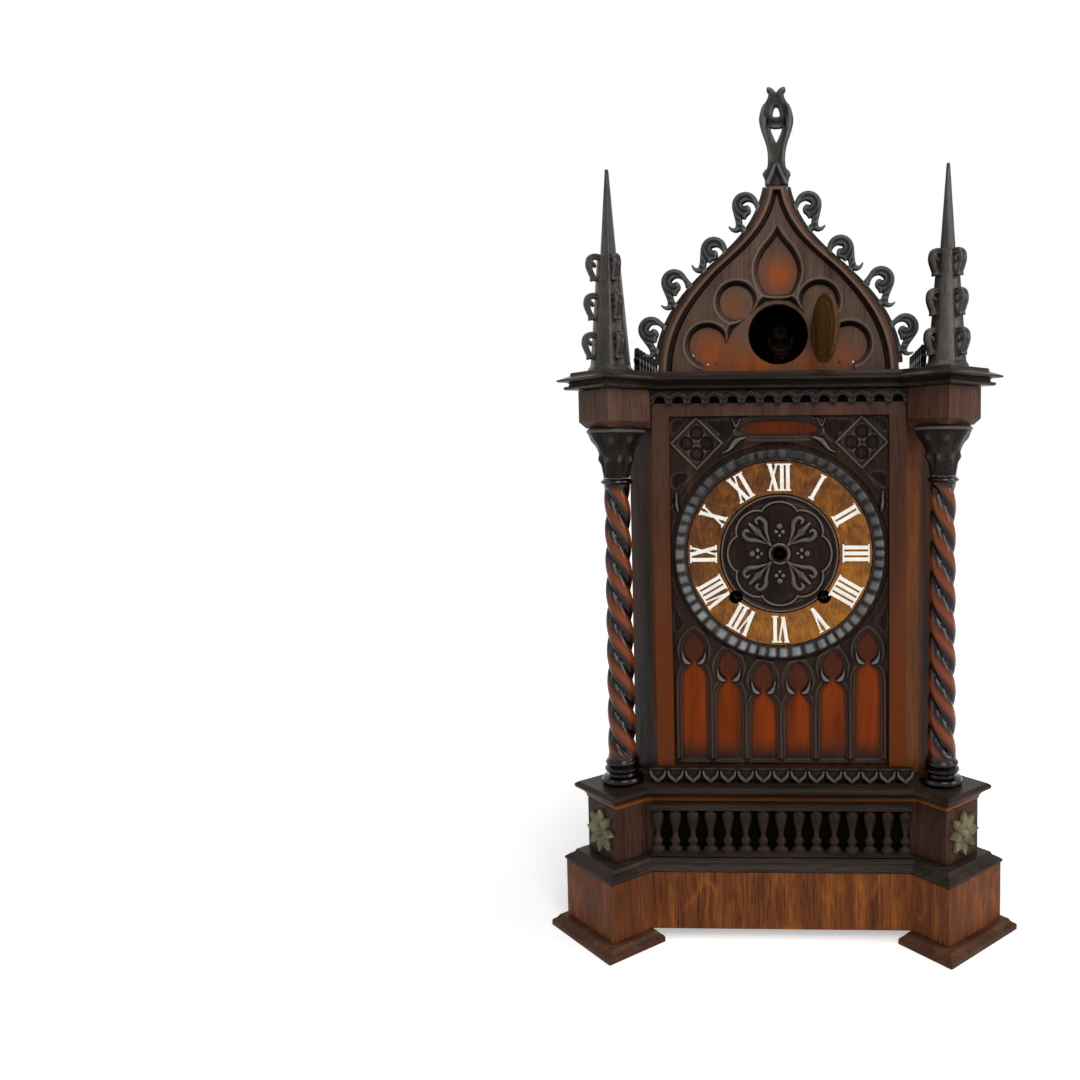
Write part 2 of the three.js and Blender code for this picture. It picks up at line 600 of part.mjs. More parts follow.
function addCase() {
  const bottom = LEDGE_TOP + GAP;
  const inner = BODY_SIDE_X - WALL;
  const behind = FRAME_BACK + GAP;
  const floor = DOOR_BOTTOM - GAP;
  const shell = prismUp(bodyPlan(0), bottom, BLOCK_TOP);
  const splay = inner - PANEL_HALF;
  const mouthHalf = PANEL_HALF + 2;
  const mouth = prismUp([
    [-mouthHalf, behind - 2], [mouthHalf, behind - 2], [inner, behind + splay], [-inner, behind + splay],
  ], floor, BLOCK_TOP + 1);
  const hollow = box(-inner, inner, behind + splay - 1, BODY_BACK_Y + 1, floor, BLOCK_TOP + 1);
  const shelfBack = BACK_PLATE_Y + PLATE_DEPTH + 1;
  const across = inner + 1;
  const shelf = box(-across, across, FRONT_PLATE_Y - 4, shelfBack, SHELF_TOP - SHELF_THICKNESS, SHELF_TOP);
  const lintelFront = BODY_BACK_Y - DOOR_DEPTH - 2;
  const lintel = box(-across, across, lintelFront, BODY_BACK_Y, DOOR_TOP + 0.5, BLOCK_TOP);
  const carcase = fuse([carve(shell, [mouth, hollow]), shelf, lintel]);
  const knuckles = [];
  for (const z of DOOR_HINGES) {
    const leafLeft = DOOR_HINGE_X - HINGE_BARREL;
    knuckles.push(post(DOOR_HINGE_X, DOOR_HINGE_Y, HINGE_PIN, z - 14, z + 14, 8));
    knuckles.push(post(DOOR_HINGE_X, DOOR_HINGE_Y, HINGE_BARREL, z - 14, z - 5, 8));
    knuckles.push(box(leafLeft, DOOR_HINGE_X + 1, BODY_BACK_Y - 1, DOOR_HINGE_Y, z - 14, z - 5));
  }
  piece('case_carcase', fuse([carcase, ...knuckles]));

  const frame = box(-FRAME_HALF, FRAME_HALF, FRAME_FRONT, FRAME_BACK, bottom, BLOCK_TOP);
  const opening = box(-PANEL_HALF, PANEL_HALF, FRAME_FRONT - 1, FRAME_BACK + 1, PANEL_BOTTOM, PANEL_TOP);
  piece('front_frame', frame.subtract(opening));

  const low = CAPITAL_TOP + GAP;
  const band = mouldedBoard(storeyPlan(BLOCK), [[-4, low], [0, low + 5], [0, BLOCK_TOP]]);
  const [under, over] = [low - 1, BLOCK_TOP + 1];
  const far = 2 * COLUMN_X;
  const clear = fuse([
    prismUp(bodyPlan(GAP), under, over),
    box(-FRAME_HALF - GAP, FRAME_HALF + GAP, COLUMN_Y - far, BACK_Y + 1, under, over),
    box(-BODY_SIDE_X, BODY_SIDE_X, 0, BACK_Y + 1, under, over),
  ]);
  const leftHalf = box(-far, 0, -far, far, under, over);
  const meeting = COLUMN_Y + COLUMN_X + BLOCK.diagonal - BLOCK.side;
  const behindCut = box(-far, 0, meeting, far, under, over);
  pair('frieze_block', band.subtract(clear).intersect(leftHalf).subtract(behindCut));
}

// Pointed arch outline between two sides, in x and z
function lancet(x0, x1, z0, spring, peak, steps = 4) {
  const middle = (x0 + x1) / 2;
  const arc = (from, share) => [
    from + (middle - from) * share * share,
    spring + (peak - spring) * Math.sin(Math.PI * share / 2),
  ];
  const points = [[x0, z0], [x1, z0], [x1, spring]];
  for (let i = 1; i < steps; i += 1) points.push(arc(x1, i / steps));
  points.push([middle, peak]);
  for (let i = steps - 1; i > 0; i -= 1) points.push(arc(x0, i / steps));
  points.push([x0, spring]);
  return points;
}

// Carved tracery panel with the dial on it
function addDial() {
  const half = PANEL_HALF - GAP;
  const floor = PANEL_FRONT + CARVING_DEPTH;
  const board = box(-half, half, PANEL_FRONT, PANEL_BACK, PANEL_BOTTOM + GAP, PANEL_TOP - GAP);
  const cuts = [];
  const sunk = (outline) => cuts.push(prismBack(outline, PANEL_FRONT - 1, floor));
  const fields = 6;
  const pitch = 2 * (PANEL_HALF - 3) / fields;
  const lifts = [24, 6, 0];
  for (let i = 0; i < fields; i += 1) {
    const x = (i - (fields - 1) / 2) * pitch;
    const spring = PANEL_BOTTOM + 43 + lifts[Math.min(i, fields - 1 - i)];
    sunk(lancet(x - pitch / 2 + 2.5, x + pitch / 2 - 2.5, PANEL_BOTTOM + 5, spring, spring + 20));
  }
  const corner = 22;
  for (const side of [-1, 1]) {
    for (const [dx, dz] of [[-7, 0], [7, 0], [0, 7], [0, -7]]) {
      const [x, z] = [side * (PANEL_HALF - corner) + dx, PANEL_TOP - corner + dz];
      cuts.push(rod(x, z, 6, PANEL_FRONT - 1, floor, 8));
    }
  }
  sunk(lancet(-26, 26, PANEL_TOP - 17, PANEL_TOP - 14, PANEL_TOP - 6));
  const bores = (from, to) => [
    rod(0, DIAL_Z, HAND_HOLE, from, to, 16),
    rod(-WINDING_X, WINDING_Z, WINDING_HOLE, from, to, 16),
    rod(WINDING_X, WINDING_Z, WINDING_HOLE, from, to, 16),
  ];
  piece('tracery_panel', carve(board, [...cuts, ...bores(PANEL_FRONT - 1, PANEL_BACK + 1)]));

  const face = PANEL_FRONT - GAP;
  const segments = 48;
  const levels = [
    [BEZEL_OUTER, 0, 1.8], [BEZEL_OUTER, 4, 1.8], [BEZEL_OUTER - 2.5, 8, 1.8],
    [BEZEL_INNER + 3, 9, 0], [BEZEL_INNER, 6, 0],
  ];
  const beads = levels.map(([radius, height, notch]) => {
    const points = [];
    for (let i = 0; i < segments; i += 1) {
      const angle = 2 * Math.PI * i / segments;
      const reach = radius - (i % 2 ? notch : 0);
      points.push(new THREE.Vector3(reach * Math.cos(angle), reach * Math.sin(angle), height));
    }
    return points;
  });
  const whole = stack(beads).rotate([90, 0, 0]).translate([0, face, DIAL_Z]);
  piece('dial_bezel', whole.subtract(rod(0, DIAL_Z, BEZEL_INNER, face - 20, face + 1, segments)));

  const chapter = ring(0, DIAL_Z, CHAPTER_INNER, CHAPTER_OUTER, face - 3.7, face, segments);
  piece('chapter_ring', carve(chapter, bores(face - 10, face + 5)), wood('walnut_burr'));

  const disc = turnedBack([
    [0, face - 2.4], [CENTRE_RADIUS - 4, face - 2.4], [CENTRE_RADIUS - 3, face - 4.4],
    [CENTRE_RADIUS - 1, face - 4.4], [CENTRE_RADIUS, face - 3], [CENTRE_RADIUS, face], [0, face],
  ], 0, DIAL_Z, 32);
  const petals = [];
  const petalCircle = (CENTRE_RADIUS - 3.2) / 2;
  for (let i = 0; i < 4; i += 1) {
    const angle = Math.PI / 4 + i * Math.PI / 2;
    const petal = turnedBack([[0, face - 5], [7, face - 4.6], [11, face - 2], [0, face - 2]], 0, 0, 8);
    petals.push(petal.translate([petalCircle * Math.cos(angle), 0, DIAL_Z + petalCircle * Math.sin(angle)]));
  }
  const boss = turnedBack([
    [0, face - 5.2], [HAND_HOLE + 2.2, face - 5.2], [HAND_HOLE + 4.2, face - 2], [0, face - 2],
  ], 0, DIAL_Z, 16);
  piece('dial_centre', carve(fuse([disc, boss, ...petals]), bores(face - 10, face + 5)));
}

// Cornice board with the scallops under it, side cresting and corner spires
function addRoofLine() {
  const z = BLOCK_TOP + GAP;
  const board = mouldedBoard(storeyPlan(BLOCK), [
    [0.5, z], [7.5, z + 0.3], [8.6, z + 1.6], [8, z + 2.8], [5.4, z + 3.4], [5, z + 5.2],
    [6.5, z + 6.2], [11.2, z + 6.6], [12.4, z + 7.2], [12.6, z + 8.2], [4.6, z + 11.4], [4, CORNICE_TOP],
  ]);
  const wellHalf = GABLE_HALF - 19.5;
  const well = box(-wellHalf, wellHalf, BOARD_BACK + 14.7, BODY_BACK_Y - 18, z - 1, CORNICE_TOP + 1);
  piece('cornice', board.subtract(well));

  const top = BLOCK_TOP - 0.6;
  const tip = top - ARCH_BAND_HEIGHT;
  const pitch = 2 * FRAME_HALF / ARCH_COUNT;
  const spring = tip + ARCH_TOOTH / 2;
  const archHalf = (pitch - ARCH_TOOTH) / 2;
  const arcade = [[FRAME_HALF, top], [-FRAME_HALF, top]];
  for (let i = 0; i < ARCH_COUNT; i += 1) {
    const x = (i - (ARCH_COUNT - 1) / 2) * pitch;
    const tooth = [[pitch / 2, tip], [pitch / 2 - 0.35 * ARCH_TOOTH, tip + 0.14 * ARCH_TOOTH]];
    arcade.push(...tooth.map(([out, height]) => [x - out, height]));
    for (let step = 0; step <= 4; step += 1) {
      const angle = Math.PI * (1 - step / 4);
      arcade.push([x + archHalf * Math.cos(angle), spring + (tip + ARCH_RISE - spring) * Math.sin(angle)]);
    }
    arcade.push([x + tooth[1][0], tooth[1][1]]);
  }
  arcade.push([FRAME_HALF, tip]);
  piece('scallop_trim', prismBack(arcade, FRAME_FRONT - 5, FRAME_FRONT - GAP));

  const [crestFront, crestBack] = [COLUMN_Y + 31, BODY_BACK_Y - 6];
  const rail = EAVES + 5;
  const crest = [[crestFront, EAVES], [crestBack, EAVES], [crestBack, rail]];
  const fleurons = 7;
  const spacing = (crestBack - crestFront) / fleurons;
  const half = [[4.4, 0], [3, 5], [6, 9], [2.4, 11]];
  for (let i = fleurons - 1; i >= 0; i -= 1) {
    const y = crestFront + (i + 0.5) * spacing;
    crest.push(...half.map(([out, rise]) => [y + out, rail + rise]));
    crest.push([y, rail + 19]);
    crest.push(...half.map(([out, rise]) => [y - out, rail + rise]).reverse());
  }
  crest.push([crestFront, rail]);
  pair('cresting', prismSide(crest, -BLOCK.side - 3, -BLOCK.side + 2));

  // Octagonal spires, both turned the same way, with hooked leaves on the two faces beside the front one
  const shoulder = EAVES + SPIRE_SHOULDER;
  const needle = [
    [18.4, EAVES], [18, EAVES + 2.4], [16, EAVES + 6],
    [9, shoulder], [6.4, shoulder + 1.6], [1.5, EAVES + SPIRE_HEIGHT],
  ];
  const needleRings = needle.map(([radius, height]) => {
    const points = [];
    for (let i = 0; i < 8; i += 1) {
      const angle = Math.PI * (i + 0.5) / 4;
      points.push(new THREE.Vector3(radius * Math.cos(angle), radius * Math.sin(angle), height));
    }
    return points;
  });
  const leaf = [
    [-4, 10], [2, 11.4], [7.2, 10.6], [10.4, 6.6], [10.7, 1.4], [8.4, -4], [6.4, -8], [7.4, -11.2], [-4, -11.2],
    [-4, -7.4], [1.6, -7], [2.6, -4.4], [5.2, 0.6], [5, 4], [2.6, 6.2], [-4, 5],
  ];
  const hooks = [];
  for (const face of [-135, -45]) {
    for (let step = 0; step < HOOK_LEVELS; step += 1) {
      const height = EAVES + 20 + 31 * step;
      const inside = 13.4 - 2.3 * step;
      const hook = leaf.map(([out, rise]) => [inside + out, height + rise]);
      hooks.push(prismBack(hook, -HOOK_DEPTH / 2, HOOK_DEPTH / 2).rotate([0, 0, face]));
    }
  }
  const spire = fuse([stack(needleRings), ...hooks]).rotate([0, 0, SPIRE_TURN]);
  piece('spire_left', spire.translate([-COLUMN_X - 3, COLUMN_Y, 0]));
  piece('spire_right', spire.translate([COLUMN_X + 3, COLUMN_Y, 0]));
}

// A place on the gable, as shares of its half-width and rise
const onGable = ([across, up]) => [across * GABLE_HALF, EAVES + up * GABLE_RISE];

// Ogee curve of the gable from the eaves to the top, right-hand side, moved inward by inset
function ogee(inset, steps = 6) {
  const [eave, hip, flank, waist, sweep, neck, tip] = OGEE.map(({ across, up, inward, down }) => {
    const [x, z] = onGable([across, up]);
    return new THREE.Vector2(Math.max(x - inward * inset, 0.2), z - down * inset);
  });
  const lower = new THREE.CubicBezierCurve(eave, hip, flank, waist);
  const upper = new THREE.CubicBezierCurve(waist, sweep, neck, tip);
  return [...lower.getPoints(steps), ...upper.getPoints(steps).slice(1)].map((p) => [p.x, p.y]);
}

function mirrored(right) {
  return [...right, ...right.map(([x, z]) => [-x, z]).reverse()];
}

function ogeeShape(inset) {
  return mirrored(ogee(inset));
}

function ogeeBand(inset, thickness) {
  return [...ogeeShape(inset), ...ogeeShape(inset + thickness).reverse()];
}

// Scrolled leaf that stands on the gable: an arch that springs from the moulding, comes down outside
// and kicks out at its foot, with a small curl inside, drawn in x and z about the arch's middle
function scroll() {
  const over = [
    [-20, -12], [-10.6, -1], [-9.6, 4], [-6.6, 9.6], [-1.6, 13.4], [3.6, 13], [8, 9.8], [10.4, 4],
    [10.2, -2], [8.6, -9], [9.6, -12.2], [13.8, -14.2], [12.6, -18.2], [8.2, -20.4],
  ];
  const root = [[-14, -21.5], [-14, -17.5], [1.4, -15.5]];
  const under = [
    [2.4, -9], [-0.8, -6.6], [-3.4, -2.6], [-1.8, 1.2], [1.4, 3.2], [-1.4, 5.2], [-5.2, 3.4],
    [-6.4, -1.6], [-6.4, -8], [-16, -14],
  ];
  return [...over, ...root, ...under];
}

function addGable() {
  const front = GABLE_FRONT;
  piece('gable_hood', fuse([
    prismBack(ogeeBand(0, HOOD_WIDTH), front - 3, BOARD_BACK),
    prismBack(ogeeBand(0.4, HOOD_WIDTH - 5), front - 6, front - 2),
  ]));

  const field = ogeeShape(HOOD_WIDTH + 0.5);
  const sunk = (right) => prismBack(mirrored(right.map(onGable)), front - 1, BOARD_FRONT);
  const lobes = ([across, up], radius) => {
    const [x, z] = onGable([across, up]);
    return [-x, x].map((place) => rod(place, z, radius, front - 1, BOARD_FRONT, 16));
  };
  const foils = [
    sunk([[0.107, 0.396], [0.174, 0.458], [0.215, 0.561], [0.154, 0.664], [0.062, 0.732], [0.002, 0.794]]),
    sunk([[0.574, 0.012], [0.41, 0.252], [0.113, 0.417]]),
    ...lobes([0.345, 0.382], SIDE_FOIL),
    ...lobes([0.591, 0.1455], LOW_FOIL),
  ];
  piece('gable_tracery', carve(prismBack(field, front, front + TRACERY_DEPTH), foils));

  const doorway = rod(0, DOORWAY_Z, DOORWAY_RADIUS, BOARD_FRONT - 1, BOARD_BACK + 1, 32);
  const [hingeX, hingeY] = [BIRD_DOOR_HINGE_X, BIRD_DOOR_HINGE_Y];
  const pin = post(hingeX, hingeY, BIRD_DOOR_PIN, DOORWAY_Z - 10, DOORWAY_Z + 10, 8);
  const loops = [-9, 9].map((rise) => box(
    hingeX - 1.2, hingeX + 1.2, hingeY - 1.2, BOARD_FRONT + 1, DOORWAY_Z + rise - 1.4, DOORWAY_Z + rise + 1.4,
  ));
  const board = prismBack(field, BOARD_FRONT, BOARD_BACK).subtract(doorway);
  piece('gable_board', fuse([board, pin, ...loops]));

  const doorBack = BOARD_FRONT - GAP;
  const closed = rod(0, DOORWAY_Z, BIRD_DOOR_RADIUS, doorBack - BIRD_DOOR_DEPTH, doorBack, 32);
  const strap = box(hingeX - 8, hingeX, hingeY - 1, hingeY + 1, DOORWAY_Z - 6, DOORWAY_Z + 6);
  const knuckle = post(hingeX, hingeY, 2.2, DOORWAY_Z - 6, DOORWAY_Z + 6, 10);
  const tall = BIRD_DOOR_RADIUS + 4;
  const relief = box(hingeX - 3, hingeX + 12, hingeY - 9, BOARD_FRONT + 1, DOORWAY_Z - tall, DOORWAY_Z + tall);
  const bore = post(hingeX, hingeY, BIRD_DOOR_PIN + GAP, DOORWAY_Z - tall, DOORWAY_Z + tall, 10);
  const door = carve(fuse([closed.subtract(relief), strap, knuckle]), [bore]);
  const opened = door.translate([-hingeX, -hingeY, 0]).rotate([0, 0, BIRD_DOOR_OPEN]);
  piece('bird_door', opened.translate([hingeX, hingeY, 0]));

  const roofFront = BOARD_BACK + GAP;
  const roofInset = 3.4;
  const spaceBack = ROOF_BACK - ROOF_BACK_WALL;
  const roof = prismBack(ogeeShape(roofInset), roofFront, ROOF_BACK);
  const ceiling = box(-GABLE_HALF, GABLE_HALF, roofFront - 2, ROOF_BACK, EAVES - 1, GABLE_TOP - 16);
  const space = prismBack(ogeeShape(roofInset + ROOF_WALL), roofFront - 1, spaceBack).intersect(ceiling);
  const belowHalf = GABLE_HALF - 14.5;
  const below = box(-belowHalf, belowHalf, roofFront - 1, spaceBack, EAVES - 1, EAVES + 4.7);
  piece('gable_roof', carve(roof, [space, below]));

  const crown = [
    [0.79, 0], [0.74, 0.08], [0.76, 0.12], [0.72, 0.165], [0.46, 0.19], [0.49, 0.32], [0.61, 0.44], [0.87, 0.56],
    [0.985, 0.638], [1, 0.694], [0.84, 0.798], [0.56, 0.853], [0.41, 0.93], [0.57, 0.96], [0.5, 1], [0.2, 0.985],
  ];
  const upperEye = [[0.21, 0.7], [0.2, 0.74], [0.09, 0.8]];
  const lowerEye = [[0.03, 0.444], [0.38, 0.59], [0.15, 0.583]];
  const onFinial = ([across, up]) => [across * FINIAL_HALF, GABLE_TOP + GAP + up * FINIAL_HEIGHT];
  const middle = front + 2;
  const slab = (right, depth) => prismBack(
    mirrored(right.map(onFinial)), middle - depth / 2, middle + depth / 2,
  );
  const tips = [...crown, [0.02, 0.942]];
  const eyes = [upperEye, lowerEye].map((right) => slab(right, 2 * FINIAL_DEPTH));
  piece('finial', carve(slab(tips, FINIAL_DEPTH), eyes));

  const leaves = [];
  const spots = [[1.0615, 0.2141], [0.8564, 0.4578], [0.5385, 0.6534], [0.2667, 0.8833]];
  for (const [x, z] of spots.map(onGable)) {
    leaves.push(prismBack(scroll(), front - 4.6, front + 2.6).translate([x, 0, z]));
  }
  const edge = prismBack(ogeeBand(-2.2, 1.9), front - 3, front + 2);
  const far = 2 * GABLE_HALF;
  const right = fuse([edge, ...leaves])
    .intersect(box(4, far, front - 30, front + 30, EAVES + 5.7, GABLE_TOP - 6))
    .subtract(prismBack(ogeeShape(-GAP), front - 30, front + 30));
  piece('crockets_right', right);
  piece('crockets_left', mirrorX(right));
}

// Back door with its turn button, and the bird with its rail
function addDoors() {
  const left = -BODY_SIDE_X + WALL + GAP + 0.4;
  const right = BODY_SIDE_X - WALL - 1.4;
  const panel = box(left, right, BODY_BACK_Y - DOOR_DEPTH, BODY_BACK_Y, DOOR_BOTTOM, DOOR_TOP);
  const leaves = [];
  const bores = [];
  for (const z of DOOR_HINGES) {
    leaves.push(post(DOOR_HINGE_X, DOOR_HINGE_Y, HINGE_BARREL, z - 4.7, z + 12, 8));
    leaves.push(box(DOOR_HINGE_X, left + 14, BODY_BACK_Y + 0.4, BODY_BACK_Y + 2.6, z - 4.7, z + 12));
    leaves.push(box(left, left + 14, BODY_BACK_Y - 0.5, BODY_BACK_Y + 1, z - 4.7, z + 12));
    bores.push(post(DOOR_HINGE_X, DOOR_HINGE_Y, HINGE_PIN + GAP, z - 30, z + 30, 8));
  }
  piece('back_door', carve(fuse([panel, ...leaves]), bores), paleWood);
  const buttonX = BODY_SIDE_X - WALL / 2;
  const buttonZ = (DOOR_BOTTOM + DOOR_TOP) / 2;
  const [barBottom, barTop] = [buttonZ - 15, buttonZ + 15];
  const bar = box(buttonX - 3.6, buttonX + 3.6, BODY_BACK_Y + 0.5, BODY_BACK_Y + 4, barBottom, barTop);
  piece('turn_button', bar.add(rod(buttonX, buttonZ, 2.6, BODY_BACK_Y + 3, BODY_BACK_Y + 5, 8)), brass);

  const railBack = ROOF_BACK - ROOF_BACK_WALL - 3;
  const railTop = EAVES + RAIL_HEIGHT;
  piece('guide_rail', box(-8, 8, BOARD_BACK + 2.7, railBack, EAVES, railTop), paleWood);
  const ball = (width, length, height, sides, rows, y, z) => {
    const round = new THREE.SphereGeometry(1, sides, rows).scale(width, length, height);
    return toSolid(round.translate(0, y, z));
  };
  const body = ball(BIRD_GIRTH, BIRD_LENGTH, BIRD_GIRTH + 0.5, 10, 6, BIRD_Y, DOORWAY_Z);
  const headY = BIRD_Y - BIRD_LENGTH + 3;
  const head = ball(7.4, 8.4, 7.6, 8, 5, headY, DOORWAY_Z + 8);
  const beakShape = new THREE.ConeGeometry(2.6, 11, 6).rotateX(Math.PI);
  const beak = toSolid(beakShape.translate(0, headY - 9, DOORWAY_Z + 7.4));
  const rump = BIRD_Y + BIRD_LENGTH;
  const tail = box(-4.5, 4.5, rump - 7, rump + 13, DOORWAY_Z - 1, DOORWAY_Z + 3);
  const carriageBack = railBack - 4;
  const arm = box(-2.4, 2.4, BIRD_Y, carriageBack, DOORWAY_Z - 12, DOORWAY_Z - 8);
  const carriage = box(-9, 9, carriageBack - CARRIAGE_LENGTH, carriageBack, railTop + GAP, DOORWAY_Z - 6);
  piece('cuckoo_bird', fuse([body, head, beak, tail, arm, carriage]), paleWood);
}

// Two organ pipes with a bellows on each
function addBellows() {
  const inner = -BODY_SIDE_X + WALL + GAP;
  const front = BACK_PLATE_Y + PLATE_DEPTH + 6;
  const back = front + PIPE_DEPTH;
  const bottom = PIPE_TOP - PIPE_HEIGHT;
  const tube = box(inner, inner + PIPE_WIDTH, front, back, bottom, PIPE_TOP);
  const [boreFront, boreBack] = [front + PIPE_WALL, back - PIPE_WALL];
  const boreRight = inner + PIPE_WIDTH - PIPE_WALL;
  const bore = box(inner + PIPE_WALL, boreRight, boreFront, boreBack, bottom - 10, PIPE_TOP - 9);
  const mouthLeft = inner + PIPE_WIDTH / 2;
  const mouth = box(mouthLeft, inner + PIPE_WIDTH + 6, front + 5, back - 5, bottom + 16, bottom + 24);
  const [boardFront, boardBack] = [front - 18, back + 16];
  const right = inner + BELLOWS_WIDTH;
  const low = PIPE_TOP - 1;
  const board = box(inner, right, boardFront, boardBack, low, low + BELLOWS_BOARD);
  const [skinFoot, skinTop] = [low + BELLOWS_BOARD - 1, low + BELLOWS_BOARD + 4];
  const fold = (skinFoot + skinTop) / 2;
  const skin = prismSide([
    [boardFront + 2, skinFoot], [boardBack - 2, skinFoot], [boardBack - 0.4, fold],
    [boardBack - 2, skinTop], [boardFront + 2, skinTop], [boardFront + 0.4, fold],
  ], inner + 1, right - 1);
  pair('pipe', fuse([carve(tube, [bore, mouth]), board, skin]), paleWood);
  const lidTop = skinTop + GAP + BELLOWS_BOARD;
  const lid = box(inner, right, boardFront, boardBack, skinTop + GAP, lidTop);
  const catchBlock = box(inner + 13, inner + 17, boardFront - 2, boardFront + 6, lidTop - 1.3, lidTop + 2.7);
  pair('bellows_lid', lid.add(catchBlock), paleWood);
}

// Wheel with pointed teeth; one tooth stands at the given angle in x and z
function wheel(x, z, teeth, module, tooth, y0, y1) {
  const pitchRadius = module * teeth / 2;
  const [tip, root] = [pitchRadius + ADDENDUM * module, pitchRadius - 1.2 * module];
  const half = Math.PI / teeth;
  const points = [];
  for (let i = 0; i < teeth; i += 1) {
    const angle = tooth + 2 * half * i;
    points.push([x + tip * Math.cos(angle), z + tip * Math.sin(angle)]);
    points.push([x + root * Math.cos(angle + half), z + root * Math.sin(angle + half)]);
  }
  return prismBack(points, y0, y1);
}

// Least gap of a wound wire to its own turns, from points along it
function leastGap(points, thickness, apart) {
  let least = Infinity;
  for (let i = 0; i < points.length; i += 1) {
    for (let j = i + apart; j < points.length; j += 1) {
      least = Math.min(least, points[i].distanceTo(points[j]) - thickness);
    }
  }
  return least;
}

function addMovement() {
  const inFront = FRONT_PLATE_Y + PLATE_DEPTH;
  const inBack = BACK_PLATE_Y;
  const outBack = BACK_PLATE_Y + PLATE_DEPTH;
  const keyEnd = PANEL_BACK + KEY_DEPTH;
  const bottom = SHELF_TOP + GAP;
  const top = VERGE_Z + 14;
  const waist = DIAL_Z + 33;
  const topHalf = PLATE_HALF - 34;
  const outline = mirrored([[PLATE_HALF, bottom], [PLATE_HALF, waist], [topHalf, top]]);
  const axes = [
    [-WINDING_X, WINDING_Z, WINDING_ARBOR_RADIUS], [WINDING_X, WINDING_Z, WINDING_ARBOR_RADIUS],
    [0, DIAL_Z, ARBOR_RADIUS], [0, THIRD_Z, ARBOR_RADIUS], [0, ESCAPE_Z, ARBOR_RADIUS],
    [0, VERGE_Z, ARBOR_RADIUS], [WINDING_X, STRIKE_Z, ARBOR_RADIUS],
  ];
  const holes = axes.map(([x, z, radius]) => rod(x, z, radius + 2 * GAP, FRONT_PLATE_Y - 9, outBack + 9, 8));
  piece('front_plate', carve(prismBack(outline, FRONT_PLATE_Y, inFront), holes), brass);
  const pillarSpots = mirrored([[PLATE_HALF - 6, bottom + 7.7], [topHalf - 4, top - 8]]);
  const pillars = pillarSpots.map(([x, z]) => rod(x, z, 3.4, inFront + GAP, inBack + 1, 8));
  const stud = rod(HAMMER_X, HAMMER_Z, 2, inBack + 1, outBack + 9, 8);
  const cap = rod(HAMMER_X, HAMMER_Z, 3, outBack + 8, outBack + 9.4, 8);
  const backPlate = carve(prismBack(outline, inBack, outBack), holes);
  piece('back_plate', fuse([backPlate, ...pillars, stud, cap]), brass);

  // Barrels: each great wheel drives a pinion above it
  const drumLength = 22;
  const barrel = (x, tooth, wheelFront, drumFront) => {
    const teeth = wheel(x, WINDING_Z, GREAT_TEETH, GREAT_MODULE, tooth, wheelFront, wheelFront + 3);
    const drum = rod(x, WINDING_Z, DRUM_RADIUS, drumFront, drumFront + drumLength, 20);
    const bore = rod(x, WINDING_Z, WINDING_ARBOR_RADIUS + GAP, inFront - 6, inBack + 6, 12);
    return teeth.add(drum).subtract(bore);
  };
  const timeLine = Math.atan2(WINDING_DROP, WINDING_X);
  piece('time_barrel', barrel(-WINDING_X, timeLine, inFront + 4, inFront + 6), brass);
  piece('strike_barrel', barrel(WINDING_X, Math.PI / 2, inBack - 7, inBack - 6 - drumLength), brass);
  for (const [name, side] of [['time', -1], ['strike', 1]]) {
    const x = side * WINDING_X;
    const spindle = rod(x, WINDING_Z, WINDING_ARBOR_RADIUS, keyEnd + 5, outBack + 1, 12);
    const square = rod(x, WINDING_Z, WINDING_ARBOR_RADIUS - 0.2, keyEnd, keyEnd + 6, 4);
    const collar = rod(x, WINDING_Z, WINDING_ARBOR_RADIUS + 1.6, outBack + 0.5, outBack + 2, 12);
    piece(`${name}_winding_arbor`, fuse([spindle, square, collar]), steel);
  }

  // Going train, one arbor above another
  const arbor = (x, z, from, to) => rod(x, z, ARBOR_RADIUS, from, to, 8);
  const centreLeaf = timeLine + Math.PI + Math.PI / CENTRE_LEAVES;
  piece('centre_arbor', fuse([
    arbor(0, DIAL_Z, keyEnd, outBack),
    wheel(0, DIAL_Z, CENTRE_LEAVES, GREAT_MODULE, centreLeaf, inFront + 3, inFront + 8.5),
    wheel(0, DIAL_Z, CENTRE_TEETH, CENTRE_MODULE, Math.PI / 2, inFront + 15, inFront + 17),
  ]), brass);
  const down = -Math.PI / 2;
  piece('third_arbor', fuse([
    arbor(0, THIRD_Z, FRONT_PLATE_Y, outBack),
    wheel(0, THIRD_Z, THIRD_LEAVES, CENTRE_MODULE, down + Math.PI / THIRD_LEAVES, inFront + 14, inFront + 18),
    wheel(0, THIRD_Z, THIRD_TEETH, THIRD_MODULE, Math.PI / 2, inFront + 28, inFront + 30),
  ]), brass);
  const escapeLeaf = down + Math.PI / ESCAPE_LEAVES;
  const escapeFront = inFront + 36;
  const escapeBack = escapeFront + 2;
  const hooked = [];
  for (let i = 0; i < ESCAPE_TEETH; i += 1) {
    const angle = 2 * Math.PI * i / ESCAPE_TEETH;
    const back = angle + 1.2 * Math.PI / ESCAPE_TEETH;
    const root = 0.8 * ESCAPE_RADIUS;
    hooked.push([ESCAPE_RADIUS * Math.cos(angle), ESCAPE_Z + ESCAPE_RADIUS * Math.sin(angle)]);
    hooked.push([root * Math.cos(back), ESCAPE_Z + root * Math.sin(back)]);
  }
  piece('escape_arbor', fuse([
    arbor(0, ESCAPE_Z, FRONT_PLATE_Y, outBack),
    wheel(0, ESCAPE_Z, ESCAPE_LEAVES, THIRD_MODULE, escapeLeaf, inFront + 27, inFront + 31),
    prismBack(hooked, escapeFront, escapeBack),
  ]), brass);

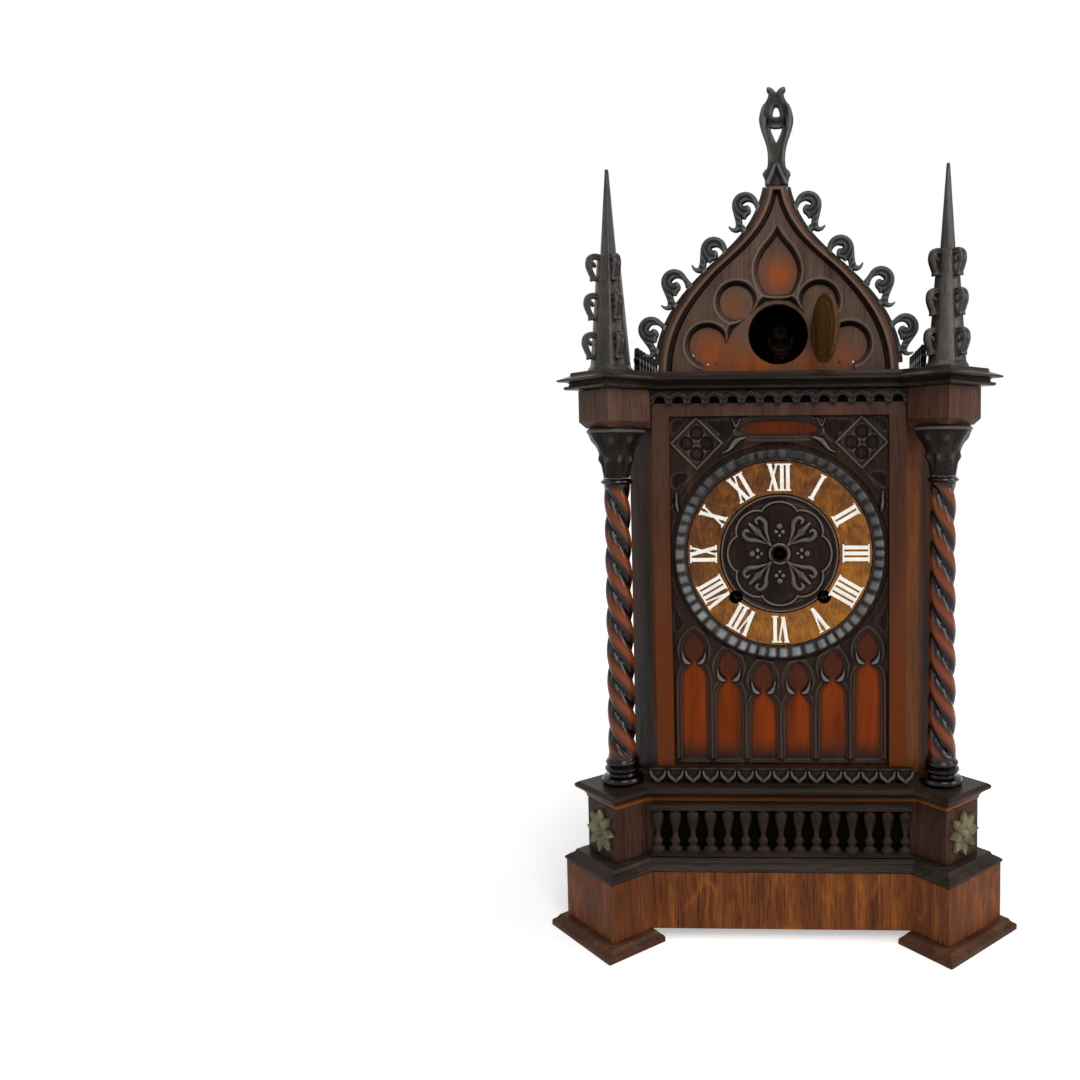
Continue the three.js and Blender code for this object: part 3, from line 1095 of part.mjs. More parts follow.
  // Verge with its crutch, and the pendulum that hangs on the rear of its arbor
  const arch = [];
  for (const [clear, from, to] of [[2.4, 0.2, 0.8], [5.6, 0.8, 0.2]]) {
    for (let step = 0; step <= 6; step += 1) {
      const angle = Math.PI * (from + (to - from) * step / 6);
      const radius = ESCAPE_RADIUS + clear;
      arch.push([radius * Math.cos(angle), ESCAPE_Z + radius * Math.sin(angle)]);
    }
  }
  const crutchFoot = VERGE_Z - CRUTCH_LENGTH;
  const crutch = (x0, x1, back, rise) => box(x0, x1, outBack + 1, back, crutchFoot, crutchFoot + rise);
  piece('verge', fuse([
    arbor(0, VERGE_Z, FRONT_PLATE_Y, PENDULUM_Y + 4),
    rod(0, VERGE_Z, 4, escapeFront - 1, escapeBack + 1, 10),
    prismBack(arch, escapeFront, escapeBack),
    crutch(-1.4, 1.4, outBack + 3, CRUTCH_LENGTH),
    crutch(-5, 5, outBack + 3, 4),
    crutch(-5, -2.2, PENDULUM_Y + 2, 4),
    crutch(2.2, 5, PENDULUM_Y + 2, 4),
  ]), steel);
  const eye = ring(0, VERGE_Z, ARBOR_RADIUS + GAP, 4.4, PENDULUM_Y - 1.5, PENDULUM_Y + 1.5, 12);
  const shoulder = 0.7 * BOB_RADIUS;
  const bob = turnedBack([
    [0, PENDULUM_Y - 5], [shoulder, PENDULUM_Y - 3.6], [BOB_RADIUS, PENDULUM_Y], [shoulder, PENDULUM_Y + 3.6],
    [0, PENDULUM_Y + 5],
  ], 0, BOB_Z, 24);
  const strip = box(-1.5, 1.5, PENDULUM_Y - 1, PENDULUM_Y + 1, BOB_Z - BOB_RADIUS - 6, VERGE_Z - 3);
  piece('pendulum', fuse([eye, bob, strip]), brass);

  // Strike arbor with its pin wheel, and the hammer beside the gong
  const pinFront = inFront + 24.5;
  const pins = [];
  for (let i = 0; i < 8; i += 1) {
    const angle = Math.PI * i / 4;
    const [x, z] = [WINDING_X + PIN_CIRCLE * Math.cos(angle), STRIKE_Z + PIN_CIRCLE * Math.sin(angle)];
    pins.push(rod(x, z, PIN_RADIUS, pinFront + 1.5, pinFront + 6.5, 6));
  }
  const strikeLeaf = down + Math.PI / CENTRE_LEAVES;
  piece('strike_arbor', fuse([
    arbor(WINDING_X, STRIKE_Z, FRONT_PLATE_Y, outBack),
    wheel(WINDING_X, STRIKE_Z, CENTRE_LEAVES, GREAT_MODULE, strikeLeaf, inBack - 8, inBack - 3),
    rod(WINDING_X, STRIKE_Z, PIN_CIRCLE + 3, pinFront, pinFront + 2, 20),
    ...pins,
  ]), brass);

  const turns = 3.5;
  const stepsPerTurn = 12;
  const innerRadius = 10;
  class Coil extends THREE.Curve {
    getPoint(share) {
      const angle = 2 * Math.PI * turns * share;
      const radius = GONG_RADIUS + (innerRadius - GONG_RADIUS) * share;
      return new THREE.Vector3(GONG_X + radius * Math.cos(angle), GONG_Y, GONG_Z - radius * Math.sin(angle));
    }
  }
  const wire = new THREE.Shape([0, 1, 2, 3, 4].map((i) => {
    const angle = 2 * Math.PI * i / 5;
    return new THREE.Vector2(GONG_WIRE * Math.cos(angle), GONG_WIRE * Math.sin(angle));
  }));
  const wound = new Coil();
  const steps = turns * stepsPerTurn;
  const coil = new THREE.ExtrudeGeometry(wire, { steps, extrudePath: wound, bevelEnabled: false });
  const gongGap = leastGap(wound.getPoints(steps), 2 * GONG_WIRE, stepsPerTurn / 2);
  console.log(`gong coil, least gap to itself: ${gongGap.toFixed(2)} mm`);
  const standX = GONG_X + GONG_RADIUS;
  const stand = box(standX - 4, standX + 4, GONG_Y - 4, GONG_Y + 4, DOOR_BOTTOM, GONG_Z + 4);
  piece('gong', toSolid(coil).add(stand), steel);
  const hub = ring(HAMMER_X, HAMMER_Z, 2 + GAP, 5, outBack + 2, outBack + 6, 10);
  const lever = (back, z0, z1) => box(HAMMER_X - 1.4, HAMMER_X + 1.4, outBack + 3, back, z0, z1);
  const shaft = lever(outBack + 5, GONG_Z + 12, HAMMER_Z - 3);
  const neck = lever(GONG_Y + 1, GONG_Z + 11, GONG_Z + 14);
  const head = box(HAMMER_X - 8, HAMMER_X + 8, GONG_Y - 5, GONG_Y + 5, GONG_Z + 8, GONG_Z + 18);
  piece('hammer', fuse([hub, shaft, neck, head]), steel);
}

addBase();
addPedestals();
addColumns();
addCase();
addDial();
addRoofLine();
addGable();
addDoors();
addBellows();
addMovement();

export default clock;
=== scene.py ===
"""Looks of a gothic mantel cuckoo clock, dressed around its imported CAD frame.

Sizes in this file are millimetres, and turn into metres where a piece is made.
X is right, Y is back, Z is up, and the clock's front faces -Y.
"""

from __future__ import annotations

import json
import logging
import math
from dataclasses import dataclass, field
from enum import Enum
from typing import Callable, Iterable, Sequence

import bpy
import numpy as np
from mathutils import Matrix, Vector

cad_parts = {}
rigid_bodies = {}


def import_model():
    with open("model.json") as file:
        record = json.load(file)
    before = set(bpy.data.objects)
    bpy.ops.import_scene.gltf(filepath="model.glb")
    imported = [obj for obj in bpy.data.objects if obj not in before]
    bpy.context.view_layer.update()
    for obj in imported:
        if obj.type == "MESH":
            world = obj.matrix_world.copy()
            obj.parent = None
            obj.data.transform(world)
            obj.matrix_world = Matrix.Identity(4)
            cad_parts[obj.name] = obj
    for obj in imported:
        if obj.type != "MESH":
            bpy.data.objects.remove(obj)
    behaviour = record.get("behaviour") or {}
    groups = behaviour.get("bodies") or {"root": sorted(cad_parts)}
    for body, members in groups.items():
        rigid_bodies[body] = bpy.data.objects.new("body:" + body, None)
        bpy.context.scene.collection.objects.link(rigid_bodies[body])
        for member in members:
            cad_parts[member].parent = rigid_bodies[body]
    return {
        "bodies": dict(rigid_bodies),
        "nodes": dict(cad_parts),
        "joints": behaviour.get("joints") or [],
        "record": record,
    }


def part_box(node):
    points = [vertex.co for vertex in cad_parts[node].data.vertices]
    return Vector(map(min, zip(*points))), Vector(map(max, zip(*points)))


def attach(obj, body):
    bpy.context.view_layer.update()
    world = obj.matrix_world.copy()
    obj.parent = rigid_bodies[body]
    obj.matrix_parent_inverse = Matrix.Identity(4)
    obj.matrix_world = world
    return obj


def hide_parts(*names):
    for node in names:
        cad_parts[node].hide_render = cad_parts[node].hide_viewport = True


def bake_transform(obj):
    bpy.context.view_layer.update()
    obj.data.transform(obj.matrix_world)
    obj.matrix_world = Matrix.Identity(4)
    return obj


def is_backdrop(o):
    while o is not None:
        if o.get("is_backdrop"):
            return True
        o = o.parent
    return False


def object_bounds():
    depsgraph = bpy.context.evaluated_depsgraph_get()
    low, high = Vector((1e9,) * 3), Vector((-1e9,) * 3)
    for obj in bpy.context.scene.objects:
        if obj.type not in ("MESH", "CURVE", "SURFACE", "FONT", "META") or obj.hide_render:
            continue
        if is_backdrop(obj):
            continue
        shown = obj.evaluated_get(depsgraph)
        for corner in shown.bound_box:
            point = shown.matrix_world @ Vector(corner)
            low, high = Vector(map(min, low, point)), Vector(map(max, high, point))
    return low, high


Array = np.ndarray
Point = tuple[float, float]
Triple = tuple[float, float, float]
Grid = tuple[float, float, float, float]
Colour = tuple[int, int, int]
Field = Callable[[Array, Array], Array]
Socket = bpy.types.NodeSocket
Material = bpy.types.Material

MM = 0.001
# Reach and depth of the ridge measure that sets each carved point's wear and painted light
WEAR_LIGHT_REACH = 2.0
WEAR_LIGHT_DEPTH = 0.9
HAIR = 0.01
BACKING_THICK = 0.22
BACKING_CHAMFER = 0.05
BROKEN_ANGLE = 28.0
WHITE = (1.0, 1.0, 1.0, 1.0)
CASE = "case"
log = logging.getLogger("cuckoo_clock")


# Measures of the frame


@dataclass(frozen=True)
class Span:
    """The box of a CAD node at rest, in millimetres."""

    left: float
    right: float
    front: float
    back: float
    bottom: float
    top: float

    @staticmethod
    def of(node: str) -> "Span":
        """The box of the named CAD node."""
        low, high = (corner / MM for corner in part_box(node))
        return Span(low.x, high.x, low.y, high.y, low.z, high.z)

    @property
    def middle(self) -> Vector:
        """The middle of the box."""
        return Vector((self.left + self.right, self.front + self.back, self.bottom + self.top)) / 2

    @property
    def reach(self) -> float:
        """Half of the box's height."""
        return (self.top - self.bottom) / 2

    @property
    def face(self) -> Grid:
        """The sides and heights of the box, as a carved board's grid."""
        return self.left, self.right, self.bottom, self.top


def winding_spots() -> list[Vector]:
    """The middles of the two winding arbors."""
    return [Span.of(f"{train}_winding_arbor").middle for train in ("time", "strike")]


# Outlines in x and z, as distances that are negative inside


def disc(x0: float, z0: float, radius: float) -> Field:
    """A round outline."""
    return lambda x, z: np.hypot(x - x0, z - z0) - radius


def oblong(x0: float, x1: float, z0: float, z1: float) -> Field:
    """A rectangle between two sides and two heights.

    Args:
        x0: left side.
        x1: right side.
        z0: lower edge.
        z1: upper edge.

    Returns:
        The outline.
    """

    def distance(x: Array, z: Array) -> Array:
        """Distance at each x and z."""
        across = np.abs(x - (x0 + x1) / 2) - (x1 - x0) / 2
        along = np.abs(z - (z0 + z1) / 2) - (z1 - z0) / 2
        outside = np.hypot(np.maximum(across, 0), np.maximum(along, 0))
        return outside + np.minimum(np.maximum(across, along), 0)

    return distance


def polygon(points: Sequence[Point]) -> Field:
    """A closed outline through the given corners.

    Args:
        points: corners in their order.

    Returns:
        The outline.
    """
    corners = np.array(points, float)
    ends = np.roll(corners, -1, axis=0)

    def distance(x: Array, z: Array) -> Array:
        """Distance at each x and z."""
        nearest = np.full(x.shape, 1e12)
        inside = np.zeros(x.shape, bool)
        for (ax, az), (bx, bz) in zip(corners, ends):
            dx, dz = bx - ax, bz - az
            along = np.clip(((x - ax) * dx + (z - az) * dz) / max(dx * dx + dz * dz, 1e-12), 0, 1)
            nearest = np.minimum(nearest, (x - ax - along * dx) ** 2 + (z - az - along * dz) ** 2)
            crosses = (az > z) != (bz > z)
            if abs(dz) > 1e-12:
                inside ^= crosses & (x < ax + dx * (z - az) / dz)
        return np.where(inside, -1, 1) * np.sqrt(nearest)

    return distance


def stroke(points: Sequence[Point], radii: Sequence[float]) -> Field:
    """A line with round ends that swells and narrows along its points.

    Args:
        points: places along the line.
        radii: half-thickness at each place.

    Returns:
        The outline.
    """

    def distance(x: Array, z: Array) -> Array:
        """Distance at each x and z."""
        nearest = np.full(x.shape, 1e6)
        for (ax, az), (bx, bz), ra, rb in zip(points, points[1:], radii, radii[1:]):
            dx, dz = bx - ax, bz - az
            along = np.clip(((x - ax) * dx + (z - az) * dz) / (dx * dx + dz * dz), 0, 1)
            gap = np.hypot(x - ax - along * dx, z - az - along * dz) - ra - (rb - ra) * along
            nearest = np.minimum(nearest, gap)
        return nearest

    return distance


def curved(knots: Sequence[Triple]) -> Field:
    """A smooth swelling line through knots of x, z and half-thickness."""
    line = flowing(knots, 5)
    return stroke(line[:, :2], line[:, 2])


def united(fields: Iterable[Field]) -> Field:
    """All the outlines together."""
    parts = list(fields)
    return lambda x, z: np.minimum.reduce([part(x, z) for part in parts])


def without(whole: Field, *cuts: Field) -> Field:
    """One outline with others cut out of it."""
    return lambda x, z: np.maximum.reduce([whole(x, z)] + [-cut(x, z) for cut in cuts])


def within(*fields: Field) -> Field:
    """What all the outlines share."""
    return lambda x, z: np.maximum.reduce([part(x, z) for part in fields])


def repeated(unit: Field, pitch: float, count: int) -> Field:
    """A row of one outline about x = 0, a pitch apart."""
    half = pitch * (count - 1) / 2
    return lambda x, z: unit(x - np.clip(np.round((x + half) / pitch), 0, count - 1) * pitch + half, z)


def mirrored(unit: Field) -> Field:
    """An outline drawn at the right, and the same at the left."""
    return lambda x, z: unit(np.abs(x), z)


def moved(unit: Field, dx: float, dz: float) -> Field:
    """An outline shifted in x and z."""
    return lambda x, z: unit(x - dx, z - dz)


def swung(unit: Field, degrees: float) -> Field:
    """An outline turned clockwise about the origin, as seen from the front."""
    c, s = math.cos(math.radians(degrees)), math.sin(math.radians(degrees))
    return lambda x, z: unit(c * x - s * z, s * x + c * z)


def both_sides(right: Sequence[Point]) -> list[Point]:
    """A closed outline from its right half."""
    return [*right, *((-x, z) for x, z in reversed(right))]


def softened(points: Sequence[Point], rounds: int = 2) -> list[Point]:
    """A closed outline with its corners cut again and again, so that it runs smoothly.

    Args:
        points: corners of the outline.
        rounds: how often they are cut.

    Returns:
        The smoother corners.
    """
    line = np.array(points, float)
    for _ in range(rounds):
        after = np.roll(line, -1, axis=0)
        line = np.stack([0.75 * line + 0.25 * after, 0.25 * line + 0.75 * after], axis=1).reshape(-1, 2)
    return [tuple(point) for point in line]


def bezier(points: Sequence[Point], steps: int) -> list[Point]:
    """Points along a cubic curve with four control points.

    Args:
        points: the four control points.
        steps: number of parts.

    Returns:
        The points.
    """
    a, b, c, d = (np.array(point, float) for point in points)
    shares = np.linspace(0, 1, steps + 1)[:, None]
    rest = 1 - shares
    curve = rest**3 * a + 3 * rest**2 * shares * b + 3 * rest * shares**2 * c + shares**3 * d
    return [tuple(point) for point in curve]


def flowing(points: Sequence[Sequence[float]], steps: int = 6) -> Array:
    """A smooth line through all the given points.

    Args:
        points: rows of values to pass through.
        steps: parts between two rows.

    Returns:
        The longer rows.
    """
    line = np.array(points, float)
    line = np.vstack([2 * line[0] - line[1], line, 2 * line[-1] - line[-2]])
    shares = np.linspace(0, 1, steps, endpoint=False)[:, None]
    spans = []
    for a, b, c, d in zip(line, line[1:], line[2:], line[3:]):
        bend = 2 * a - 5 * b + 4 * c - d
        spans.append(b + 0.5 * shares * (c - a + shares * (bend + shares * (3 * (b - c) + d - a))))
    return np.vstack(spans + [line[-2:-1]])


def bump(value: Array, middle: float, width: float) -> Array:
    """A smooth swelling of height one about a middle."""
    return np.exp(-(((value - middle) / width) ** 2))


def step(value: Array, low: float, high: float) -> Array:
    """A smooth rise from nought at low to one at high."""
    share = np.clip((value - low) / (high - low), 0, 1)
    return share * share * (3 - 2 * share)


def domed(depth: Array, width: float) -> Array:
    """A quarter-round rise from an outline inward, reaching one at the given width."""
    share = np.clip(-depth / width, 0, 1)
    return np.sqrt(np.maximum(1 - (1 - share) ** 2, 0))


# Skins of points and faces


@dataclass
class Shape:
    """Points in millimetres with the faces that close them, and each point's tint and its value for wear and
    painted light.
    """

    points: Array
    quads: Array = field(default_factory=lambda: np.zeros((0, 4), int))
    tris: Array = field(default_factory=lambda: np.zeros((0, 3), int))
    tint: Array | None = None
    wear_and_painted_light: Array | None = None

    def __post_init__(self) -> None:
        """Gives the points a plain tint, no wear and no painted light, and turns the faces outward."""
        if self.tint is None:
            self.tint = np.zeros(len(self.points))
        if self.wear_and_painted_light is None:
            self.wear_and_painted_light = np.zeros(len(self.points))
        corners = np.vstack([self.quads[:, [0, 1, 2]], self.quads[:, [0, 2, 3]], self.tris])
        a, b, c = (self.points[corners[:, i]] for i in range(3))
        if np.einsum("ij,ij->i", a, np.cross(b, c)).sum() < 0:
            self.quads = self.quads[:, ::-1]
            self.tris = self.tris[:, ::-1]

    def placed(self, matrix: Matrix) -> "Shape":
        """The shape turned and moved by a matrix in millimetres.

        Args:
            matrix: the turn and the shift.

        Returns:
            A new shape.
        """
        turn = np.array(matrix.to_3x3())
        shift = np.array(matrix.translation)
        return Shape(self.points @ turn.T + shift, self.quads, self.tris, self.tint, self.wear_and_painted_light)

    def at(self, x: float = 0, y: float = 0, z: float = 0) -> "Shape":
        """The shape moved."""
        return self.placed(Matrix.Translation((x, y, z)))

    def flipped(self) -> "Shape":
        """The shape mirrored left to right."""
        return self.placed(Matrix.Diagonal((-1, 1, 1, 1)))


def joined(shapes: Iterable[Shape]) -> Shape:
    """Several closed shapes as one.

    Args:
        shapes: the shapes to join.

    Returns:
        One shape with all their points and faces.
    """
    parts = list(shapes)
    starts = np.cumsum([0] + [len(part.points) for part in parts])
    return Shape(
        np.vstack([part.points for part in parts]),
        np.vstack([part.quads + start for part, start in zip(parts, starts)]),
        np.vstack([part.tris + start for part, start in zip(parts, starts)]),
        np.concatenate([part.tint for part in parts]),
        np.concatenate([part.wear_and_painted_light for part in parts]),
    )


def skinned(rings: Array, endless: bool = False, wear_and_painted_light: Array | None = None) -> Shape:
    """A skin over rings of points.

    Args:
        rings: points as levels, places around, and x, y, z.
        endless: whether the last ring meets the first; otherwise both ends are closed.
        wear_and_painted_light: each point's value for wear and painted light, lighter with painted highlight
            above nought and darker below it, as levels and places around.

    Returns:
        The closed shape.
    """
    levels, around, _ = rings.shape
    index = np.arange(levels * around).reshape(levels, around)
    upper = np.roll(index, -1, axis=0) if endless else index[1:]
    lower = index if endless else index[:-1]
    quads = np.stack([lower, np.roll(lower, -1, 1), np.roll(upper, -1, 1), upper], axis=-1).reshape(-1, 4)
    points = rings.reshape(-1, 3)
    marks = np.zeros(len(points)) if wear_and_painted_light is None else np.ravel(wear_and_painted_light)
    if endless:
        return Shape(points, quads, wear_and_painted_light=marks)
    hubs = np.array([rings[0].mean(0), rings[-1].mean(0)])
    foot, head = len(points), len(points) + 1
    first, last = index[0], index[-1]
    tris = np.vstack([
        np.stack([np.full(around, foot), np.roll(first, -1), first], axis=-1),
        np.stack([np.full(around, head), last, np.roll(last, -1)], axis=-1),
    ])
    return Shape(np.vstack([points, hubs]), quads, tris, wear_and_painted_light=np.append(marks, [0, 0]))


def bearings(count: int) -> Array:
    """Angles evenly spaced round a circle."""
    return 2 * np.pi * np.arange(count) / count


def rounded(radii: Array, heights: Array, endless: bool = False, wear_and_painted_light: Array | None = None) -> Shape:
    """A skin over levels of radii about the upright axis.

    Args:
        radii: radius at each level and place around.
        heights: height at each level and place around.
        endless: whether the last level meets the first.
        wear_and_painted_light: each point's value for wear and painted light.

    Returns:
        The closed shape about x = y = 0.
    """
    angles = bearings(radii.shape[1])
    rings = np.stack([radii * np.cos(angles), radii * np.sin(angles), heights], axis=-1)
    return skinned(rings, endless, wear_and_painted_light)


def turned(profile: Sequence[Point], sides: int, closed: bool = False) -> Shape:
    """A profile of radius and height turned about the upright axis.

    Args:
        profile: radius and height of each level, from the bottom up.
        sides: number of places around.
        closed: whether the profile is a closed loop, as for a ring.

    Returns:
        The turned shape about x = y = 0.
    """
    radii, heights = (np.repeat(part[:, None], sides, axis=1) for part in np.array(profile, float).T)
    return rounded(radii, heights, endless=closed)


def facing_front(shape: Shape) -> Shape:
    """A shape turned about the upright axis, tipped so that its top faces the front."""
    return shape.placed(Matrix.Rotation(math.pi / 2, 4, "X"))


def block(low: Sequence[float], high: Sequence[float], chamfer: float) -> Shape:
    """A box with chamfered edges.

    Args:
        low: lowest x, y and z.
        high: highest x, y and z.
        chamfer: width taken off each edge.

    Returns:
        The closed shape.
    """
    (x0, y0, z0), (x1, y1, z1) = low, high
    levels = [(chamfer, z0), (0, z0 + chamfer), (0, z1 - chamfer), (chamfer, z1)]
    rings = []
    for inset, z in levels:
        near, far = inset, inset + chamfer
        rings.append([
            (x0 + far, y0 + near, z), (x1 - far, y0 + near, z), (x1 - near, y0 + far, z),
            (x1 - near, y1 - far, z), (x1 - far, y1 - near, z), (x0 + far, y1 - near, z),
            (x0 + near, y1 - far, z), (x0 + near, y0 + far, z),
        ])
    return skinned(np.array(rings, float))


def averaged(values: Array, reach: int) -> Array:
    """Values on a grid, averaged with their neighbours out to a reach in both directions.

    Args:
        values: the grid.
        reach: neighbours to each side.

    Returns:
        The smoother grid.
    """
    size = 2 * reach + 1
    for axis in (0, 1):
        edges = [(reach + 1, reach) if axis == side else (0, 0) for side in (0, 1)]
        total = np.cumsum(np.pad(values, edges, mode="edge"), axis=axis)
        count = total.shape[axis]
        values = (total.take(range(size, count), axis) - total.take(range(count - size), axis)) / size
    return values


def carved_board(
    span: Grid,
    pitch: float,
    outline: Field,
    front: Field,
    back: Field,
    tint: Field | None = None,
) -> Shape:
    """A board cut to an outline, with carving on its front and back.

    Args:
        span: lowest and highest x, then lowest and highest z, of the grid of points.
        pitch: distance between the points.
        outline: distance to the board's edge, negative in the wood.
        front: depth y of the front at each x and z.
        back: depth y of the back at each x and z.
        tint: tint of the front at each x and z.

    Returns:
        The closed shape, with its rim on the outline.
    """
    x0, x1, z0, z1 = span
    columns = max(2, round((x1 - x0) / pitch))
    rows = max(2, round((z1 - z0) / pitch))
    gx, gz = np.meshgrid(np.linspace(x0, x1, columns + 1), np.linspace(z0, z1, rows + 1), indexing="ij")
    depth = outline(gx, gz)
    kept = (depth[:-1, :-1] + depth[1:, :-1] + depth[:-1, 1:] + depth[1:, 1:]) < 0
    padded = np.zeros((columns + 2, rows + 2), bool)
    padded[1:-1, 1:-1] = kept
    near = [padded[:-1, :-1], padded[1:, :-1], padded[:-1, 1:], padded[1:, 1:]]
    count = sum(cells.astype(int) for cells in near)
    rim = (count > 0) & (count < 4)
    rx, rz = gx[rim], gz[rim]
    reach = 0.1 * pitch
    for _ in range(3):
        value = outline(rx, rz)
        slope_x = (outline(rx + reach, rz) - outline(rx - reach, rz)) / (2 * reach)
        slope_z = (outline(rx, rz + reach) - outline(rx, rz - reach)) / (2 * reach)
        shift = np.clip(value, -pitch, pitch) / np.maximum(slope_x**2 + slope_z**2, 0.25)
        shift = np.where(np.abs(value) < 1.5 * pitch, shift, 0)
        rx, rz = rx - shift * slope_x, rz - shift * slope_z
    gx[rim], gz[rim] = rx, rz

    height = front(gx, gz)
    # Points above their neighbours' average get a positive value, painted lighter as rubbed wear with a
    # painted highlight; points below it get a negative value, painted darker as shade in the hollows
    reach = max(1, round(WEAR_LIGHT_REACH / pitch))
    ridge = np.clip((averaged(height, reach) - height) / WEAR_LIGHT_DEPTH, -1, 1)
    used = count > 0
    total = int(used.sum())
    index = np.full(used.shape, -1)
    index[used] = np.arange(total)
    ux, uz = gx[used], gz[used]
    points = np.vstack([
        np.stack([ux, height[used], uz], axis=-1),
        np.stack([ux, back(ux, uz), uz], axis=-1),
    ])
    corner = [index[:-1, :-1], index[1:, :-1], index[1:, 1:], index[:-1, 1:]]
    face = np.stack([part[kept] for part in corner], axis=-1)
    quads = [face, face[:, ::-1] + total]
    beside = [padded[1:-1, :-2], padded[2:, 1:-1], padded[1:-1, 2:], padded[:-2, 1:-1]]
    for side, neighbour in enumerate(beside):
        bare = kept & ~neighbour
        start, end = corner[side][bare], corner[(side + 1) % 4][bare]
        quads.append(np.stack([end, start, start + total, end + total], axis=-1))
    shade = np.zeros(2 * total)
    if tint is not None:
        shade[:total] = tint(ux, uz)
    marks = np.concatenate([ridge[used], np.zeros(total)])
    return Shape(points, np.vstack(quads), np.zeros((0, 3), int), shade, marks)


def level(depth: float) -> Field:
    """A flat face at one depth."""
    return lambda x, z: np.full(x.shape, float(depth))


def swollen(swell: Field, middle: float = 0.0) -> tuple[Field, Field]:
    """A front and a back that swell alike about a middle depth."""
    return lambda x, z: middle - swell(x, z), lambda x, z: middle + swell(x, z)


def shade_backing(node: str, inset: float, gap: float) -> Shape:
    """A thin strip just behind a CAD node, near-black to stand in for the shade there.

    Args:
        node: the CAD node's name.
        inset: how far the strip stays inside the node's box.
        gap: room between the node and the strip.

    Returns:
        The closed shape.
    """
    span = Span.of(node)
    near = span.back + gap
    low = (span.left + inset, near, span.bottom + inset)
    return block(low, (span.right - inset, near + BACKING_THICK, span.top - inset), BACKING_CHAMFER)


# Finishes


class Axis(Enum):
    """The way that a board's grain or a stain runs."""

    ACROSS = 0
    BACK = 1
    UP = 2


def linear(colour: Colour) -> tuple[float, float, float, float]:
    """A display colour of 0 to 255 as the linear colour that a shader takes."""
    shares = [part / 255 for part in colour]
    return (*[s / 12.92 if s <= 0.04045 else ((s + 0.055) / 1.055) ** 2.4 for s in shares], 1.0)


class Bench:
    """A material, or the light of the surround, while its nodes are put together."""

    def __init__(self, name: str, kind: str = "materials") -> None:
        """Starts a data block with its usual nodes.

        Args:
            name: the block's name.
            kind: the part of Blender's data that it belongs to.
        """
        self.owner = getattr(bpy.data, kind).new(name)
        self.owner.use_nodes = True
        self.tree = self.owner.node_tree
        self.shader = self.tree.nodes.get("Principled BSDF")

    def node(self, kind: str, inputs: dict | None = None, **settings: object) -> bpy.types.Node:
        """Adds a node.

        Args:
            kind: the node's type, without the ShaderNode that all begin with.
            inputs: value or output socket for each input, by name or number.
            settings: the node's own settings.

        Returns:
            The new node.
        """
        made = self.tree.nodes.new("ShaderNode" + kind)
        for name, value in settings.items():
            setattr(made, name, value)
        for key, value in (inputs or {}).items():
            self.feed(made.inputs[key], value)
        return made

    def feed(self, socket: Socket, value: object) -> None:
        """Links an output to a socket, or sets the socket's own value.

        Args:
            socket: the input.
            value: an output socket or a plain value.
        """
        if isinstance(value, Socket):
            self.tree.links.new(value, socket)
        else:
            socket.default_value = value

    def stretched(self, scale: Sequence[float]) -> Socket:
        """Places on the piece, stretched by a scale for each axis."""
        place = self.node("TexCoord").outputs["Object"]
        return self.node("Mapping", {"Vector": place, "Scale": scale}).outputs["Vector"]

    def noise(self, scale: Sequence[float], detail: float = 4, twist: float = 0) -> Socket:
        """Noise over the piece, as a factor."""
        inputs = {"Vector": self.stretched(scale), "Scale": 1.0, "Detail": detail, "Distortion": twist}
        return self.node("TexNoise", inputs).outputs["Fac"]

    def ranged(self, value: object, low: float, high: float, to_low: float, to_high: float) -> Socket:
        """A value moved from one range to another, and kept within it."""
        inputs = {0: value, 1: low, 2: high, 3: to_low, 4: to_high}
        return self.node("MapRange", inputs).outputs[0]

    def sum(self, kind: str, a: object, b: object) -> Socket:
        """Two values put together by a math node of that kind."""
        return self.node("Math", {0: a, 1: b}, operation=kind).outputs[0]

    def mix(self, share: object, a: object, b: object, blend: str = "MIX") -> Socket:
        """Two colours mixed by a share."""
        inputs = {0: share, 6: a, 7: b}
        return self.node("Mix", inputs, data_type="RGBA", blend_type=blend).outputs[2]

    def ramp(self, share: object, stops: Sequence[tuple[float, Colour]]) -> Socket:
        """A colour for each part of a range.

        Args:
            share: place in the range.
            stops: place and colour of each stop.

        Returns:
            The colour.
        """
        made = self.node("ValToRGB", {0: share})
        elements = made.color_ramp.elements
        while len(elements) < len(stops):
            elements.new(0.5)
        for element, (place, colour) in zip(elements, stops):
            element.position = place
            element.color = linear(colour)
        return made.outputs["Color"]

    def carried(self, name: str) -> Socket:
        """A value that the piece's points carry."""
        return self.node("Attribute", attribute_name=name).outputs["Fac"]

    def seen(self) -> Socket:
        """One where the camera looks, straight or by way of gloss and glass, and nought elsewhere."""
        rays = self.node("LightPath").outputs
        bounced = self.sum("MAXIMUM", rays["Is Glossy Ray"], rays["Is Transmission Ray"])
        return self.sum("MAXIMUM", rays["Is Camera Ray"], bounced)

    def relief(self, height: object, strength: float, depth: float) -> None:
        """Fine relief on the surface; the depth is in millimetres."""
        inputs = {"Height": height, "Strength": strength, "Distance": depth * MM}
        self.feed(self.shader.inputs["Normal"], self.node("Bump", inputs).outputs["Normal"])

    def surface(self, **values: object) -> Material:
        """Sets the shader's sockets, named with _ for spaces, and hands over the material.

        Args:
            values: output or plain value for each socket.

        Returns:
            The finished material.
        """
        for name, value in values.items():
            self.feed(self.shader.inputs[name.replace("_", " ").title().replace("Ior", "IOR")], value)
        return self.owner


@dataclass(frozen=True)
class ColourBand:
    """A colour that takes over between two places along an axis, in millimetres."""

    colour: Colour
    axis: Axis
    start: float
    end: float


